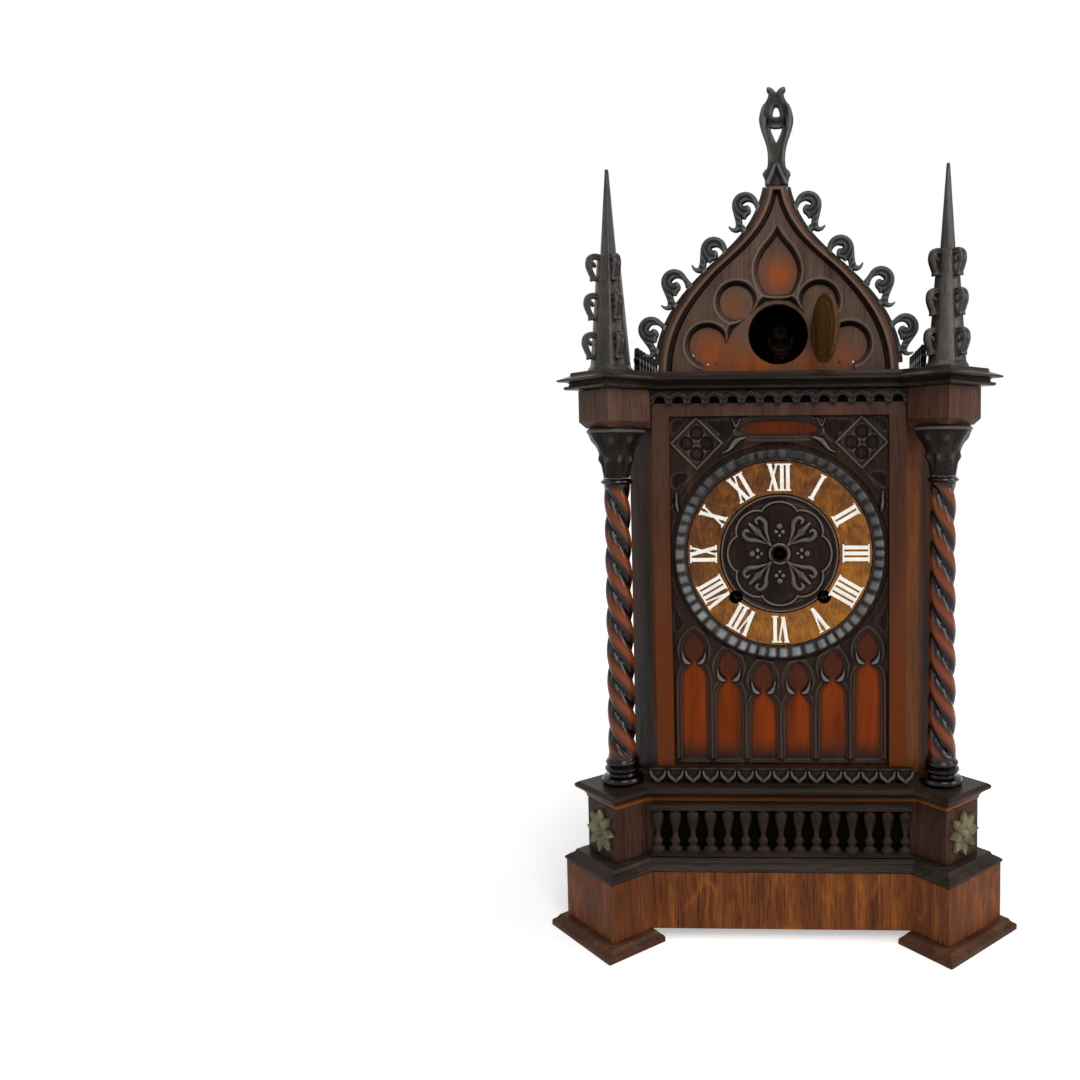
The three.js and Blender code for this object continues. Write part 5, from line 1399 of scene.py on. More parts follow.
@dataclass
class TraceryPanel:
    """The carved panel behind the dial: lancets below, quatrefoils in the upper corners."""

    pitch: float = 0.6
    lancets: int = 6
    mullion: float = 8.6
    sink: float = 3.2
    rise: float = 0.8
    fillet: float = 4.3
    hook_heights: tuple[float, ...] = (89.3, 74.7, 64.0)
    diamond: float = 21.0
    lobe_offset: float = 8.6
    lobe: float = 6.3
    boss: float = 3.4
    hole: float = 5.8
    dial_edge: float = 92.0
    dial_ring: float = 97.0
    margin: float = 5.4
    sill: float = 6.5

    def __post_init__(self) -> None:
        """Takes the panel's box from the frame."""
        self.span = Span.of("tracery_panel")

    def bays(self) -> list[Triple]:
        """The middle, half-width and hook height of every bay.

        Returns:
            One row for each bay, from the left.
        """
        span = self.span
        pitch = (span.right - span.left - self.margin) / self.lancets
        half = (pitch - self.mullion) / 2
        places = []
        for i in range(self.lancets):
            rank = min(i, self.lancets - 1 - i)
            x = (i - (self.lancets - 1) / 2) * pitch
            places.append((x, half, span.bottom + self.hook_heights[rank]))
        return places

    def lancet(self, x: float, half: float, hook: float) -> Field:
        """A tall field whose head narrows to the gap between its two hooks.

        Args:
            x: the bay's middle.
            half: half of its width.
            hook: height of its hooks.

        Returns:
            The outline.
        """
        foot = self.span.bottom + self.sill
        side = [
            (half, foot), (half, foot), (half, hook - 17), (0.86 * half, hook - 9),
            (0.3 * half, hook - 3.4), (0.12 * half, hook + 1),
        ]
        return moved(polygon(softened(both_sides(side))), x, 0)

    def loop(self, x: float, hook: float) -> Field:
        """A pointed loop over the hooks."""
        side = [(2.4, hook - 1.2), (7.6, hook + 2.6), (9.6, hook + 10), (6.2, hook + 18.4), (0.6, hook + 24)]
        return moved(polygon(softened(both_sides(side))), x, 0)

    def corner(self) -> Point:
        """The middle of the diamond at the upper right."""
        return self.span.right - self.diamond - 0.8, self.span.top - self.diamond - 0.6

    def lobes(self, radius: float) -> Field:
        """Four round fields of one radius in each diamond.

        Args:
            radius: radius of each field.

        Returns:
            The outline of all eight.
        """
        x, z = self.corner()
        offset = self.lobe_offset
        places = ((-offset, 0), (offset, 0), (0, offset), (0, -offset))
        return mirrored(united(disc(x + dx, z + dz, radius) for dx, dz in places))

    def spandrels(self) -> Field:
        """The small hollows between the diamonds, the dial and the frame.

        Returns:
            The outline at both sides.
        """
        top, side, low = self.span.top, self.span.right, self.span.bottom
        outlines = [
            [
                (36, top - 3), (50, top - 2), (52, top - 10), (48, top - 16), (53, top - 27),
                (43, top - 20), (36, top - 11),
            ],
            [(side - 1, top - 46), (side - 1, top - 60), (side - 8, top - 56), (side - 17, top - 46)],
            [(side - 1, top - 64), (side - 1, top - 80), (side - 6, top - 72)],
            [(side - 1, low + 132), (side - 1, low + 112), (side - 9, low + 120), (side - 6, low + 126)],
            [(side - 1, top - 2), (side - 1, top - 16), (side - 14, top - 2)],
            [(side - 43, top - 3), (side - 27, top - 3), (side - 42, top - 17)],
        ]
        return mirrored(united(polygon(softened(outline, 1)) for outline in outlines))

    def tablet(self) -> Field:
        """The long sunk field over the dial."""
        top = self.span.top - 2.8
        return mirrored(polygon(softened([
            (-10, top - 12.3), (24, top - 12.3), (30, top - 11), (33.5, top - 7.5), (28, top - 3),
            (20, top - 0.8), (-10, top),
        ], 1)))

    def hooks(self) -> Field:
        """The bright hooked cusps, and the leaf tips over the dial.

        Returns:
            The outline.
        """
        line = [(9.8, 8, 0.5), (8.8, 3, 1.2), (6.8, -0.4, 1.9), (4.0, -1.8, 1.2)]
        parts = []
        for x, _, hook in self.bays():
            for sign in (-1, 1):
                parts.append(curved([(x + sign * across, hook + up, wide) for across, up, wide in line]))
        tips = [
            [(28, 17, 1.0), (35, 20, 2.2), (41, 27, 1.4), (47, 30, 0.6)],
            [(31.5, 1, 0.5), (35, 8, 0.9), (38.5, 1, 0.5)],
            [(52, 46, 0.5), (62, 50, 1.8), (70, 60, 1.2), (76, 74, 0.5)],
            [(81, 84, 0.5), (84.5, 74, 1.4), (85, 62, 0.8)],
        ]
        for tip in tips:
            parts.append(mirrored(curved([(x, self.span.top - down, wide) for x, down, wide in tip])))
        return united(parts)

    def sills(self) -> Field:
        """A short ridge under each lancet."""
        low, high = self.span.bottom + 2.4, self.span.bottom + 4.4
        return united(oblong(x - half - 2.9, x + half + 2.9, low, high) for x, half, _ in self.bays())

    def build(self) -> None:
        """Makes the panel."""
        span = self.span
        dial = Span.of("dial_bezel").middle
        holes = [disc(spot.x, spot.z, self.hole) for spot in (dial, *winding_spots())]
        outline = without(oblong(*span.face), *holes)
        lancets = united(self.lancet(*bay) for bay in self.bays())
        loops = united(self.loop(x, hook) for x, _, hook in self.bays())
        tablet = self.tablet()
        sunk = united([lancets, loops, tablet])
        spandrels = self.spandrels()
        lobes, bosses = self.lobes(self.lobe), self.lobes(self.boss)
        hooks, sills = self.hooks(), self.sills()
        x0, z0 = self.corner()
        reach = self.diamond
        corners = [(x0 - reach, z0), (x0, z0 + reach), (x0 + reach, z0), (x0, z0 - reach), (x0 - reach, z0)]
        diamonds = mirrored(stroke(corners, [HAIR] * len(corners)))

        def front(x: Array, z: Array) -> Array:
            """Depth of the carving."""
            edge = sunk(x, z)
            bank = step(edge, -1.6, 0.6)
            foil = lobes(x, z)
            berry = 1.8 * domed(bosses(x, z), 2.6)
            pit = 3.2 * step(-foil, -0.2, 1.4) - 1.3 * bump(foil, 1.2, 1.1) - berry
            pit = np.maximum(pit, 2.6 * step(-spandrels(x, z), -1, 3.4))
            line = self.rise * step(z, span.bottom + self.sill - 1, span.bottom + self.sill)
            fillet = line * bump(edge, self.fillet, 1.7) + 0.9 * step(edge, 0.2, 1.2) - pit * step(edge, 0, 2)
            frame = (self.rise + 1.9) * bump(diamonds(x, z), 0, 2.0) - 0.6
            hook = 1.6 + 2.3 * domed(hooks(x, z), 1.6) - 4 * step(hooks(x, z), -0.4, 0.5)
            sill = 1.5 * domed(sills(x, z), 1.4)
            near_dial = np.hypot(x - dial.x, z - dial.z)
            ring = 1.2 * bump(near_dial, self.dial_ring, 1.4) * step(edge, 0, 2)
            fall = self.sink * (1 - bank)
            height = np.maximum.reduce([fillet - fall, frame, hook, sill, ring - fall])
            return span.front + 0.9 - height * step(near_dial, self.dial_edge - 3, self.dial_edge)

        def tint(x: Array, z: Array) -> Array:
            """Warm fields, and hollows painted dark as shade."""
            warm = np.maximum(step(-lancets(x, z), -2.4, 3.4), 0.42 * step(-tablet(x, z), -0.2, 2.4))
            warm = warm * step(z, span.bottom + 4, span.bottom + 26)
            warm = np.maximum(warm, 0.3 * step(-loops(x, z), -1, 2.5))
            # Painted shade in the lobes round the bosses and in the spandrels
            ring = step(-lobes(x, z), -0.4, 1) * step(bosses(x, z), -0.8, 0.6)
            return warm - 0.85 * np.maximum(ring, 0.8 * step(-spandrels(x, z), -0.6, 2.4))

        panel = carved_board(span.face, self.pitch, outline, front, level(span.back), tint)
        make_piece("carved_tracery_panel", panel, Finish.CARVED, ["tracery_panel"], crease=60)


@dataclass
class Dial:
    """The beaded bezel, the carved middle of the dial and its twelve bone numerals."""

    beads: int = 54
    hole: float = 5.8
    bezel_width: float = 10.9
    washer_bores: tuple[float, ...] = (2.1, 3.3, 3.3)
    numeral_foot: float = 51.6
    numeral_head: float = 74.2
    thick: float = 3.3
    thin: float = 1.7
    serif: float = 1.5
    widest: float = 21.6

    def bezel(self) -> Shape:
        """A ring of carved beads that slopes in to the dial, between two fillets.

        Returns:
            The ring in its place.
        """
        span = Span.of("dial_bezel")
        outer = (span.right - span.left) / 2
        inner = outer - self.bezel_width
        height = span.back - span.front
        loop = [
            (0, 0, 0), (0, 0.34, 0), (0.6, 0.42, 0), (1.4, 0.4, 0), (1.9, 0.42, 0.2), (2.4, 0.62, 0.8),
            (4.2, 0.78, 1), (6, 0.9, 1), (7.6, 1, 1), (8.8, 0.93, 0.8), (9.6, 0.74, 0.3), (10.1, 0.55, 0),
            (self.bezel_width, 0.36, 0), (self.bezel_width, 0, 0),
        ]
        angles = bearings(10 * self.beads)
        pillow = np.abs(np.cos(self.beads * angles / 2 + 0.7 * np.sin(7 * angles))) ** 0.85
        # Painted light on the beads: crests lighter with painted highlight, more on the lower half where the
        # light falls, and the gaps darker as painted shade; the ripple round the ring is random
        uneven_and_painted_light = (0.75 + 0.25 * np.sin(17 * angles) * np.sin(5 * angles + 1)) * (0.62 - 0.38 * np.sin(angles))
        rings = []
        wear_and_painted_light = []
        for out, share, cut in loop:
            radius = inner + out
            rise = height * share - 2.4 * cut * (1 - pillow)
            rings.append(np.stack([radius * np.cos(angles), radius * np.sin(angles), rise], axis=-1))
            wear_and_painted_light.append(cut * uneven_and_painted_light * np.clip(2.4 * (pillow - 0.42), -1, 1))
        ring = facing_front(skinned(np.array(rings), endless=True, wear_and_painted_light=np.array(wear_and_painted_light)))
        return ring.at(span.middle.x, span.back, span.middle.z)

    def spoke(self, quarters: float) -> tuple[Array, Array]:
        """Unit steps outward and to the left, some quarter turns round from the right."""
        out = np.array([math.cos(quarters * math.pi / 2), math.sin(quarters * math.pi / 2)])
        return out, np.array([-out[1], out[0]])

    def leafwork(self) -> Field:
        """Four diagonal leaf sprays that divide the middle of the dial into compartments.

        Returns:
            The outline about the dial's middle.
        """
        curl = [
            (13, 0.8, 1.2), (20, 4.6, 1.8), (26.5, 9.6, 2.4), (32, 9.4, 2.2), (33, 5.8, 1.6),
            (30.6, 5, 1.0),
        ]
        parts = []
        for i in range(4):
            out, side = self.spoke(i + 0.5)
            parts.append(stroke([tuple(out * far) for far in (9, 17, 25, 35)], [1.8, 1.9, 3.2, 1.2]))
            for sign in (-1, 1):
                parts.append(curved([(*(out * far + sign * side * off), wide) for far, off, wide in curl]))
        return united(parts)

    def buds(self) -> Field:
        """A three-lobed bud in each compartment.

        Returns:
            The outline about the dial's middle.
        """
        parts = []
        for i in range(4):
            out, side = self.spoke(i)
            for far, off, radius in ((22.5, 0, 2.7), (18.2, 2.8, 2.0), (18.2, -2.8, 2.0), (15, 0, 1.6)):
                x, z = out * far + side * off
                parts.append(disc(x, z, radius))
        return united(parts)

    def centre(self) -> Shape:
        """The carved middle: leaf sprays and buds in a cusped border, with a thin rim.

        Returns:
            The carved disc in its place.
        """
        span = Span.of("dial_centre")
        middle = span.middle
        radius = (span.right - span.left) / 2
        places = [(spot.x - middle.x, spot.z - middle.z) for spot in (middle, *winding_spots())]
        holes = [disc(x, z, self.hole) for x, z in places]
        outline = without(disc(0, 0, radius), *holes)
        sprays, buds = self.leafwork(), self.buds()

        def front(x: Array, z: Array) -> Array:
            """Depth of the carving."""
            far = np.hypot(x, z)
            line = 36.6 + 5.2 * np.abs(np.cos(4 * np.arctan2(z, x))) ** 0.7
            bank = 1.5 * step(far, line - 0.6, line + 1) + 1.1 * bump(far, line + 1.1, 0.9)
            bank = (bank - 1.2 * bump(far, radius - 4.4, 1.5)) * step(-far, -radius + 1.6, -radius + 2.6)
            rim = 2.6 * bump(far, radius - 1.5, 0.8)
            vein = 0.7 * bump(sprays(x, z), -1.2, 0.5)
            leaf = 3.2 * domed(sprays(x, z), 2.2) - vein
            bud = 2.4 * domed(buds(x, z), 2.2)
            boss = 3.2 * step(-far, -self.hole - 4.2, -self.hole - 2.4)
            hollow = 1.2 * bump(far, 28, 9)
            return -2.4 - np.maximum.reduce([bank, rim, leaf, bud, boss, -hollow])

        def tint(x: Array, z: Array) -> Array:
            """Sunk ground between the sprays, painted darker as shade."""
            far = np.hypot(x, z)
            ground = step(sprays(x, z), 0.2, 1.8) * step(buds(x, z), 0, 1.2)
            return -0.4 * ground * step(-far, -38, -33) * step(far, 9, 13)

        shape = carved_board((-radius, radius, -radius, radius), 0.45, outline, front, level(0), tint)
        return shape.at(middle.x, span.back, middle.z)

    def letter(self, kind: str, x: float, half: float) -> list[Field]:
        """The strokes of one Roman letter.

        Args:
            kind: I, V or X.
            x: place of its middle.
            half: half of the numeral's height.

        Returns:
            The outlines that make it up.
        """
        ends = half - self.serif / 2

        def leg(low: float, high: float, width: float) -> Field:
            """A slanting stroke."""
            turn = width / 2
            return polygon([
                (x + low - turn, -ends), (x + low + turn, -ends),
                (x + high + turn, ends), (x + high - turn, ends),
            ])

        def foot(at: float, z: float, width: float) -> Field:
            """A serif."""
            return oblong(x + at - width, x + at + width, z - self.serif / 2, z + self.serif / 2)

        if kind == "I":
            return [leg(0, 0, self.thick), foot(0, ends, 2.7), foot(0, -ends, 2.7)]
        if kind == "V":
            return [
                leg(0.1, -3.0, self.thick), leg(0.1, 3.1, self.thin),
                foot(-2.9, ends, 2.2), foot(2.9, ends, 2.0),
            ]
        return [
            leg(2.9, -2.9, self.thick), leg(-2.9, 2.9, self.thin),
            foot(-2.9, ends, 2.2), foot(2.9, -ends, 2.2), foot(3.0, ends, 1.9), foot(-3.0, -ends, 1.9),
        ]

    def numeral(self, text: str) -> Shape:
        """A Roman numeral about the origin, facing the front.

        Args:
            text: its letters.

        Returns:
            The closed shape.
        """
        room = {"I": 4.9, "V": 8.6, "X": 9.6}
        widths = [room[kind] for kind in text]
        total = sum(widths)
        half = (self.numeral_head - self.numeral_foot) / 2
        strokes = []
        place = -total / 2
        for kind, width in zip(text, widths):
            strokes += self.letter(kind, place + width / 2, half)
            place += width
        outline = united(strokes)

        squeeze = min(1.0, self.widest / total)
        grid = (-total / 2 - 1.2, total / 2 + 1.2, -half - 0.5, half + 0.5)
        plain = carved_board(
            grid, 0.3, outline, lambda x, z: -0.35 - 0.75 * domed(outline(x, z), 0.5), level(0),
        )
        return plain.placed(Matrix.Diagonal((squeeze, 1, 1, 1)))

    def shade_sleeves(self) -> Shape:
        """Near-black sleeves in the three holes of the dial, painted shade that stands in for the dark inside
        them.

        Returns:
            All three as one shape.
        """
        front, back = Span.of("chapter_ring").front + 1.2, Span.of("tracery_panel").back
        bore, skin, deep = self.hole - 0.9, self.hole - 0.15, back - front
        tubes = []
        spots = (Span.of("dial_bezel").middle, *winding_spots())
        for spot, room in zip(spots, self.washer_bores):
            wall = [(room, 0), (skin, 0), (skin, deep), (bore, deep), (bore, 1), (room, 1)]
            tubes.append(facing_front(turned(wall, 40, closed=True)).at(spot.x, back, spot.z))
        return joined(tubes)

    def build(self) -> None:
        """Makes the bezel, the middle, the near-black sleeves of painted shade and the numerals."""
        make_piece("hole_shade_sleeves", self.shade_sleeves(), Finish.CLOTH)
        make_piece("beaded_bezel", self.bezel(), Finish.BEAD, ["dial_bezel"], crease=50)
        make_piece("carved_dial_middle", self.centre(), Finish.CARVED, ["dial_centre"], crease=60)
        ring = Span.of("chapter_ring")
        middle = ring.middle
        radius = (self.numeral_foot + self.numeral_head) / 2
        hours = ["I", "II", "III", "IIII", "V", "VI", "VII", "VIII", "IX", "X", "XI", "XII"]
        for hour, text in enumerate(hours, 1):
            turn = math.radians(30 * hour)
            spot = Matrix.Translation((middle.x, ring.front, middle.z)) @ Matrix.Rotation(turn, 4, "Y")
            numeral = self.numeral(text).placed(spot @ Matrix.Translation((0, 0, radius)))
            make_piece(f"numeral_{hour:02d}", numeral, Finish.NUMERAL)


@dataclass
class Doorway:
    """Where the bird's round doorway lies, and the pin that its door hangs on."""

    board_depth: float = 6.0
    hinge_out: float = 2.0
    hinge_proud: float = 3.0

    def __post_init__(self) -> None:
        """Takes the places from the frame."""
        door = Span.of("bird_door")
        self.height = door.middle.z
        self.reach = door.reach
        self.face = Span.of("gable_board").back - self.board_depth
        self.hinge_x = self.reach + self.hinge_out
        self.hinge_y = self.face - self.hinge_proud


@dataclass
class Gable:
    """The ogee gable: moulded hood, cusped tracery, scrolled crockets, finial and board pins."""

    rise: float = 145.7
    hood: float = 10.4
    pitch: float = 0.6
    # Shares across and up, then how far an inset moves the point inward and down
    ogee: tuple[tuple[float, ...], ...] = (
        (1, 0, 1, 0), (0.985, 0.266, 0.943, 0.472), (0.769, 0.423, 0.472, 0.66),
        (0.542, 0.568, 0.509, 0.377), (0.359, 0.677, 0.66, 0.283), (0.144, 0.78, 0.755, 0.189),
        (0.082, 1, 0.717, 0.472),
    )
    crocket_spots: tuple[Point, ...] = (
        (1.0535, 0.2319), (0.8544, 0.4894), (0.522, 0.6613), (0.2587, 0.8991),
    )
    crocket_turns: tuple[float, ...] = (40.0, 26.0, 0.0, 18.0)
    crocket_gap: float = 0.3
    crocket_foot: float = 5.7
    strip: float = 3.6
    slope: float = 3.6
    sill_half: float = 62.0
    play: float = 0.5
    # Place across, height over the doorway's middle, reach and strength
    glows: tuple[tuple[float, ...], ...] = (
        (-50.0, -16.0, 20.0, 0.75), (-22.0, -30.0, 22.0, 0.9), (-36.0, 22.0, 10.0, 0.4),
        (1.0, 47.0, 13.0, 0.75), (56.0, -20.0, 14.0, 0.45), (26.0, -30.0, 16.0, 0.6),
    )
    door_lap: float = 2.2
    pin_spots: tuple[Point, ...] = ((-70.1, 479.5), (-58.0, 472.0), (60.9, 473.1), (47.1, 487.8))

    def __post_init__(self) -> None:
        """Takes the gable's width and place from the frame."""
        hood = Span.of("gable_hood")
        self.half = hood.right
        self.eaves = hood.bottom
        self.front = Span.of("gable_tracery").front
        self.doorway = Doorway()

    def spot(self, across: float, up: float) -> Point:
        """A place on the gable, as shares of its half-width and rise."""
        return across * self.half, self.eaves + up * self.rise

    def curve(self, inset: float, steps: int = 24) -> list[Point]:
        """The gable's ogee on the right, from the eaves up, moved inward.

        Args:
            inset: how far inward.
            steps: parts of each of its two bends.

        Returns:
            The points.
        """
        points = []
        for across, up, inward, down in self.ogee:
            x, z = self.spot(across, up)
            points.append((max(x - inward * inset, 0.2), z - down * inset))
        return bezier(points[:4], steps) + bezier(points[3:], steps)[1:]

    def field(self, inset: float) -> Field:
        """The outline inside the gable's curve."""
        return polygon(both_sides(self.curve(inset)))

    def hood_moulding(self) -> Shape:
        """A moulding of rolls and hollows swept along the ogee, from one eave to the other.

        Returns:
            The closed shape.
        """
        back = Span.of("gable_hood").back
        face = self.front
        section = [
            (0, back), (0, face - 3.2), (0.8, face - 4.2), (2.6, face - 4.8), (4.4, face - 5.6),
            (5.6, face - 5.8), (6.6, face - 5.6), (7.2, face - 4.8), (7.5, face - 3.0), (7.8, face - 0.6),
            (8.6, face - 0.1), (9.6, face - 0.1), (self.hood, face - 0.6), (self.hood, back),
        ]
        # Painted light across the section: the roll lighter as painted highlight, the groove behind it darker
        # as painted shade
        sheen_and_shade = [0, 0, -0.1, -0.15, 0.3, 0.6, 0.4, 0, -0.6, -1, -1, -1, -0.8, 0]
        rings = []
        for inset, y in section:
            rings.append([(x, y, z) for x, z in both_sides(self.curve(inset))])
        around = np.array(rings).transpose(1, 0, 2)
        return skinned(around, wear_and_painted_light=np.tile(sheen_and_shade, (len(around), 1)))

    def foils(self) -> Field:
        """The cusped opening in the tracery.

        Returns:
            The outline.
        """
        flame = [
            (0.107, 0.396), (0.174, 0.458), (0.215, 0.561), (0.154, 0.664), (0.062, 0.732), (0.002, 0.794),
        ]
        low = [(0.574, 0.012), (0.41, 0.252), (0.113, 0.417)]
        parts = []
        for right, rounds in ((flame, 2), (low, 0)):
            parts.append(polygon(softened(both_sides([self.spot(*share) for share in right]), rounds)))
        for (across, up), radius in (((0.345, 0.382), 17.4), ((0.591, 0.1455), 18.6)):
            x, z = self.spot(across, up)
            parts += [disc(x, z, radius), disc(-x, z, radius)]
        return united(parts)

    def tracery(self) -> Shape:
        """The cusped layer, with a slope round its foils that stays clear of the bird's door; the slope is
        painted dark as shade.

        Returns:
            The closed shape.
        """
        span = Span.of("gable_tracery")
        foils = self.foils()
        height, reach = self.doorway.height, self.doorway.reach
        swing = oblong(reach - 5, reach + 8, height - reach - 0.8, height + reach + 0.8)
        room = united([disc(0, height, reach + 0.9), swing])
        sill = oblong(-self.sill_half, self.sill_half, span.bottom - 1, span.bottom + 7)

        def opening(x: Array, z: Array) -> Array:
            """What is cut out of the layer."""
            cut = np.minimum(foils(x, z) + self.slope, np.maximum(room(x, z), foils(x, z)))
            return np.minimum(cut, sill(x, z))

        def front(x: Array, z: Array) -> Array:
            """Depth of the lip and the slope."""
            edge = foils(x, z)
            fall = np.clip(-edge / self.slope, 0, 1)
            lip = 0.6 * bump(edge, 0.9, 0.7)
            return span.front + 0.7 + (span.back - span.front - 1.5) * fall - lip

        def tint(x: Array, z: Array) -> Array:
            """Painted shade on the slope, darkest at the head of each foil, where it faces down."""
            above = 0.5 + 0.55 * (foils(x, z + 1) - foils(x, z))
            return -step(-foils(x, z), -0.2, 0.5) * np.clip(above, 0.25, 1)

        outline = without(self.field(self.hood + self.play), opening)
        return carved_board(span.face, self.pitch, outline, front, level(span.back), tint)

    def back_board(self) -> Shape:
        """The board behind the foils, with the bird's doorway and the pin that its door hangs on.

        Returns:
            Board, pin and brackets as one shape.
        """
        span = Span.of("gable_board")
        face, height = self.doorway.face, self.doorway.height
        hole = disc(0, height, self.doorway.reach - self.door_lap)
        outline = without(self.field(self.hood + self.play), hole)

        def tint(x: Array, z: Array) -> Array:
            """Warm glows on the board."""
            return np.maximum.reduce([
                share * bump(np.hypot(x - dx, z - height - dz), 0, far) for dx, dz, far, share in self.glows
            ])

        board = carved_board(span.face, 0.9, outline, level(face), level(span.back), tint)
        hinge_x, hinge_y = self.doorway.hinge_x, self.doorway.hinge_y
        pin = turned([(0.8, height - 10), (0.9, height - 9.8), (0.9, height + 9.8), (0.8, height + 10)], 16)
        parts = [board, pin.at(hinge_x, hinge_y)]
        for rise in (-9, 9):
            low = (hinge_x - 1.2, hinge_y - 1.2, height + rise - 1.4)
            parts.append(block(low, (hinge_x + 1.2, face + 1, height + rise + 1.4), 0.25))
        return joined(parts)

    def scroll(self) -> Field:
        """A scrolled leaf about the middle of its arch: it springs up, comes down outside and kicks out.

        Returns:
            The outline.
        """
        arch = disc(0, 0, 10.7)
        limb = curved([(-8.0, 0, 2.7), (-9.6, -7, 2.6), (-12, -14, 2.8), (-16, -20, 2.8)])
        tail = curved([
            (7.9, 0.6, 2.9), (8.3, -5, 2.9), (8.8, -10, 2.8), (10.2, -14.4, 2.8), (13.2, -15.8, 1.9),
            (16, -14.4, 1.3), (17.6, -11.9, 0.7),
        ])
        root = stroke([(9.6, -14), (6.6, -18), (5, -23)], [2.8, 2.8, 2.8])
        void = curved([
            (0.8, 1.0, 0.9), (-2.4, 1.0, 1.4), (-4.8, -1.6, 1.8), (-5.0, -5.4, 1.9), (-3.2, -9, 2.4),
            (0.4, -11.6, 3.0), (2.6, -15.6, 2.8), (-1, -20, 3.4),
        ])
        return without(united([arch, limb, tail, root]), void)

    def crockets(self) -> Shape:
        """The four crockets at the right, on a thin edge strip.

        Returns:
            Strip and leaves as one shape.
        """
        hood = self.field(-self.crocket_gap)
        low, high = self.eaves + self.crocket_foot, self.eaves + self.rise - 1
        bounds = oblong(4, 2 * self.half, low, high)
        strip = without(within(self.field(-self.strip), bounds), hood)
        grid = (4, self.half + 4, low, high)
        parts = [carved_board(grid, 0.6, strip, level(self.front - 3), level(self.front + 2))]
        leaf = self.scroll()
        middle = self.front - 1
        for (across, up), turn in zip(self.crocket_spots, self.crocket_turns):
            x0, z0 = self.spot(across, up)
            outline = without(within(moved(swung(leaf, turn), x0, z0), bounds), hood)

            def swell(x: Array, z: Array, outline: Field = outline, x0: float = x0, z0: float = z0) -> Array:
                """Half-thickness of a fluted leaf."""
                edge = outline(x, z)
                far = np.hypot(x - x0, z - z0 - 0.3)
                flute = 0.3 * np.cos(2 * np.pi * far / 3.9) * step(-edge, 0.6, 1.8)
                return 1.2 + 2.4 * domed(edge, 2.4) + flute

            grid = (x0 - 20, x0 + 20, z0 - 27, z0 + 13)
            parts.append(carved_board(grid, 0.45, outline, *swollen(swell, middle)))
        return joined(parts)

    def finial(self) -> Shape:
        """The openwork leaf on top: two strands that cross, curl out, and open in a dark cup.

        Returns:
            The closed shape.
        """
        span = Span.of("finial")
        half, height = span.right, span.top - span.bottom
        middle = (span.front + span.back) / 2
        crown = [
            (0.68, 0), (0.68, 0.05), (0.72, 0.09), (0.84, 0.13), (0.7, 0.165), (0.52, 0.19), (0.49, 0.32),
            (0.61, 0.44), (0.87, 0.56), (0.985, 0.638), (1, 0.694), (0.84, 0.798), (0.56, 0.853),
            (0.41, 0.93), (0.57, 0.96), (0.5, 1), (0.2, 0.985), (0.02, 0.942),
        ]
        upper = [(0.21, 0.7), (0.2, 0.74), (0.09, 0.8)]
        lower = [(0.03, 0.444), (0.38, 0.59), (0.15, 0.583)]

        def drawn(right: Sequence[Point]) -> Field:
            """A closed outline from shares of the finial's half-width and height."""
            spots = [(across * half, span.bottom + up * height) for across, up in right]
            return polygon(softened(both_sides(spots), 1))

        outline = without(drawn(crown), drawn(upper), drawn(lower))

        def swell(x: Array, z: Array) -> Array:
            """Half-thickness of the strands, the cup and the ribs."""
            edge = outline(x, z)
            up = (z - span.bottom) / height
            across = np.abs(x) / half
            strand = bump(across, 0.42 + 0.38 * np.sin(3.4 * (up - 0.28)), 0.16) * step(up, 0.2, 0.3)
            cup = 3.2 * bump(up, 0.645, 0.045) * step(-np.abs(x), -8.8, -6.4)
            ribs = 1.8 * bump(across, 0.62 - 2.6 * up, 0.12) * step(-up, -0.24, -0.2)
            notch = 1.6 * step(-across - 2.6 * up, -0.5, -0.34)
            return np.maximum(1.4 + 2.7 * domed(edge, 3.4) + 1.3 * strand - cup + ribs - notch, 0.8)

        return carved_board(span.face, 0.4, outline, *swollen(swell, middle))

    def pins(self) -> Shape:
        """The heads of the pins in the gable board."""
        head = facing_front(turned([(1.3, 0), (1.25, 0.25), (0.9, 0.5), (0.4, 0.62)], 12))
        return joined(head.at(x, self.doorway.face, z) for x, z in self.pin_spots)

    def build(self) -> None:
        """Makes the gable's carved pieces."""
        make_piece("moulded_hood", self.hood_moulding(), Finish.HOOD, ["gable_hood"])
        make_piece("cusped_tracery", self.tracery(), Finish.CUSP, ["gable_tracery"], crease=60)
        make_piece("doorway_board", self.back_board(), Finish.FIELD, ["gable_board"])
        right = self.crockets()
        for side, row in (("right", right), ("left", right.flipped())):
            make_piece(
                f"scrolled_crockets_{side}", row, Finish.SCROLL, [f"crockets_{side}"], crease=60,
            )
        make_piece("openwork_finial", self.finial(), Finish.SCROLL, ["finial"], crease=60)
        make_piece("board_pins", self.pins(), Finish.STEEL)


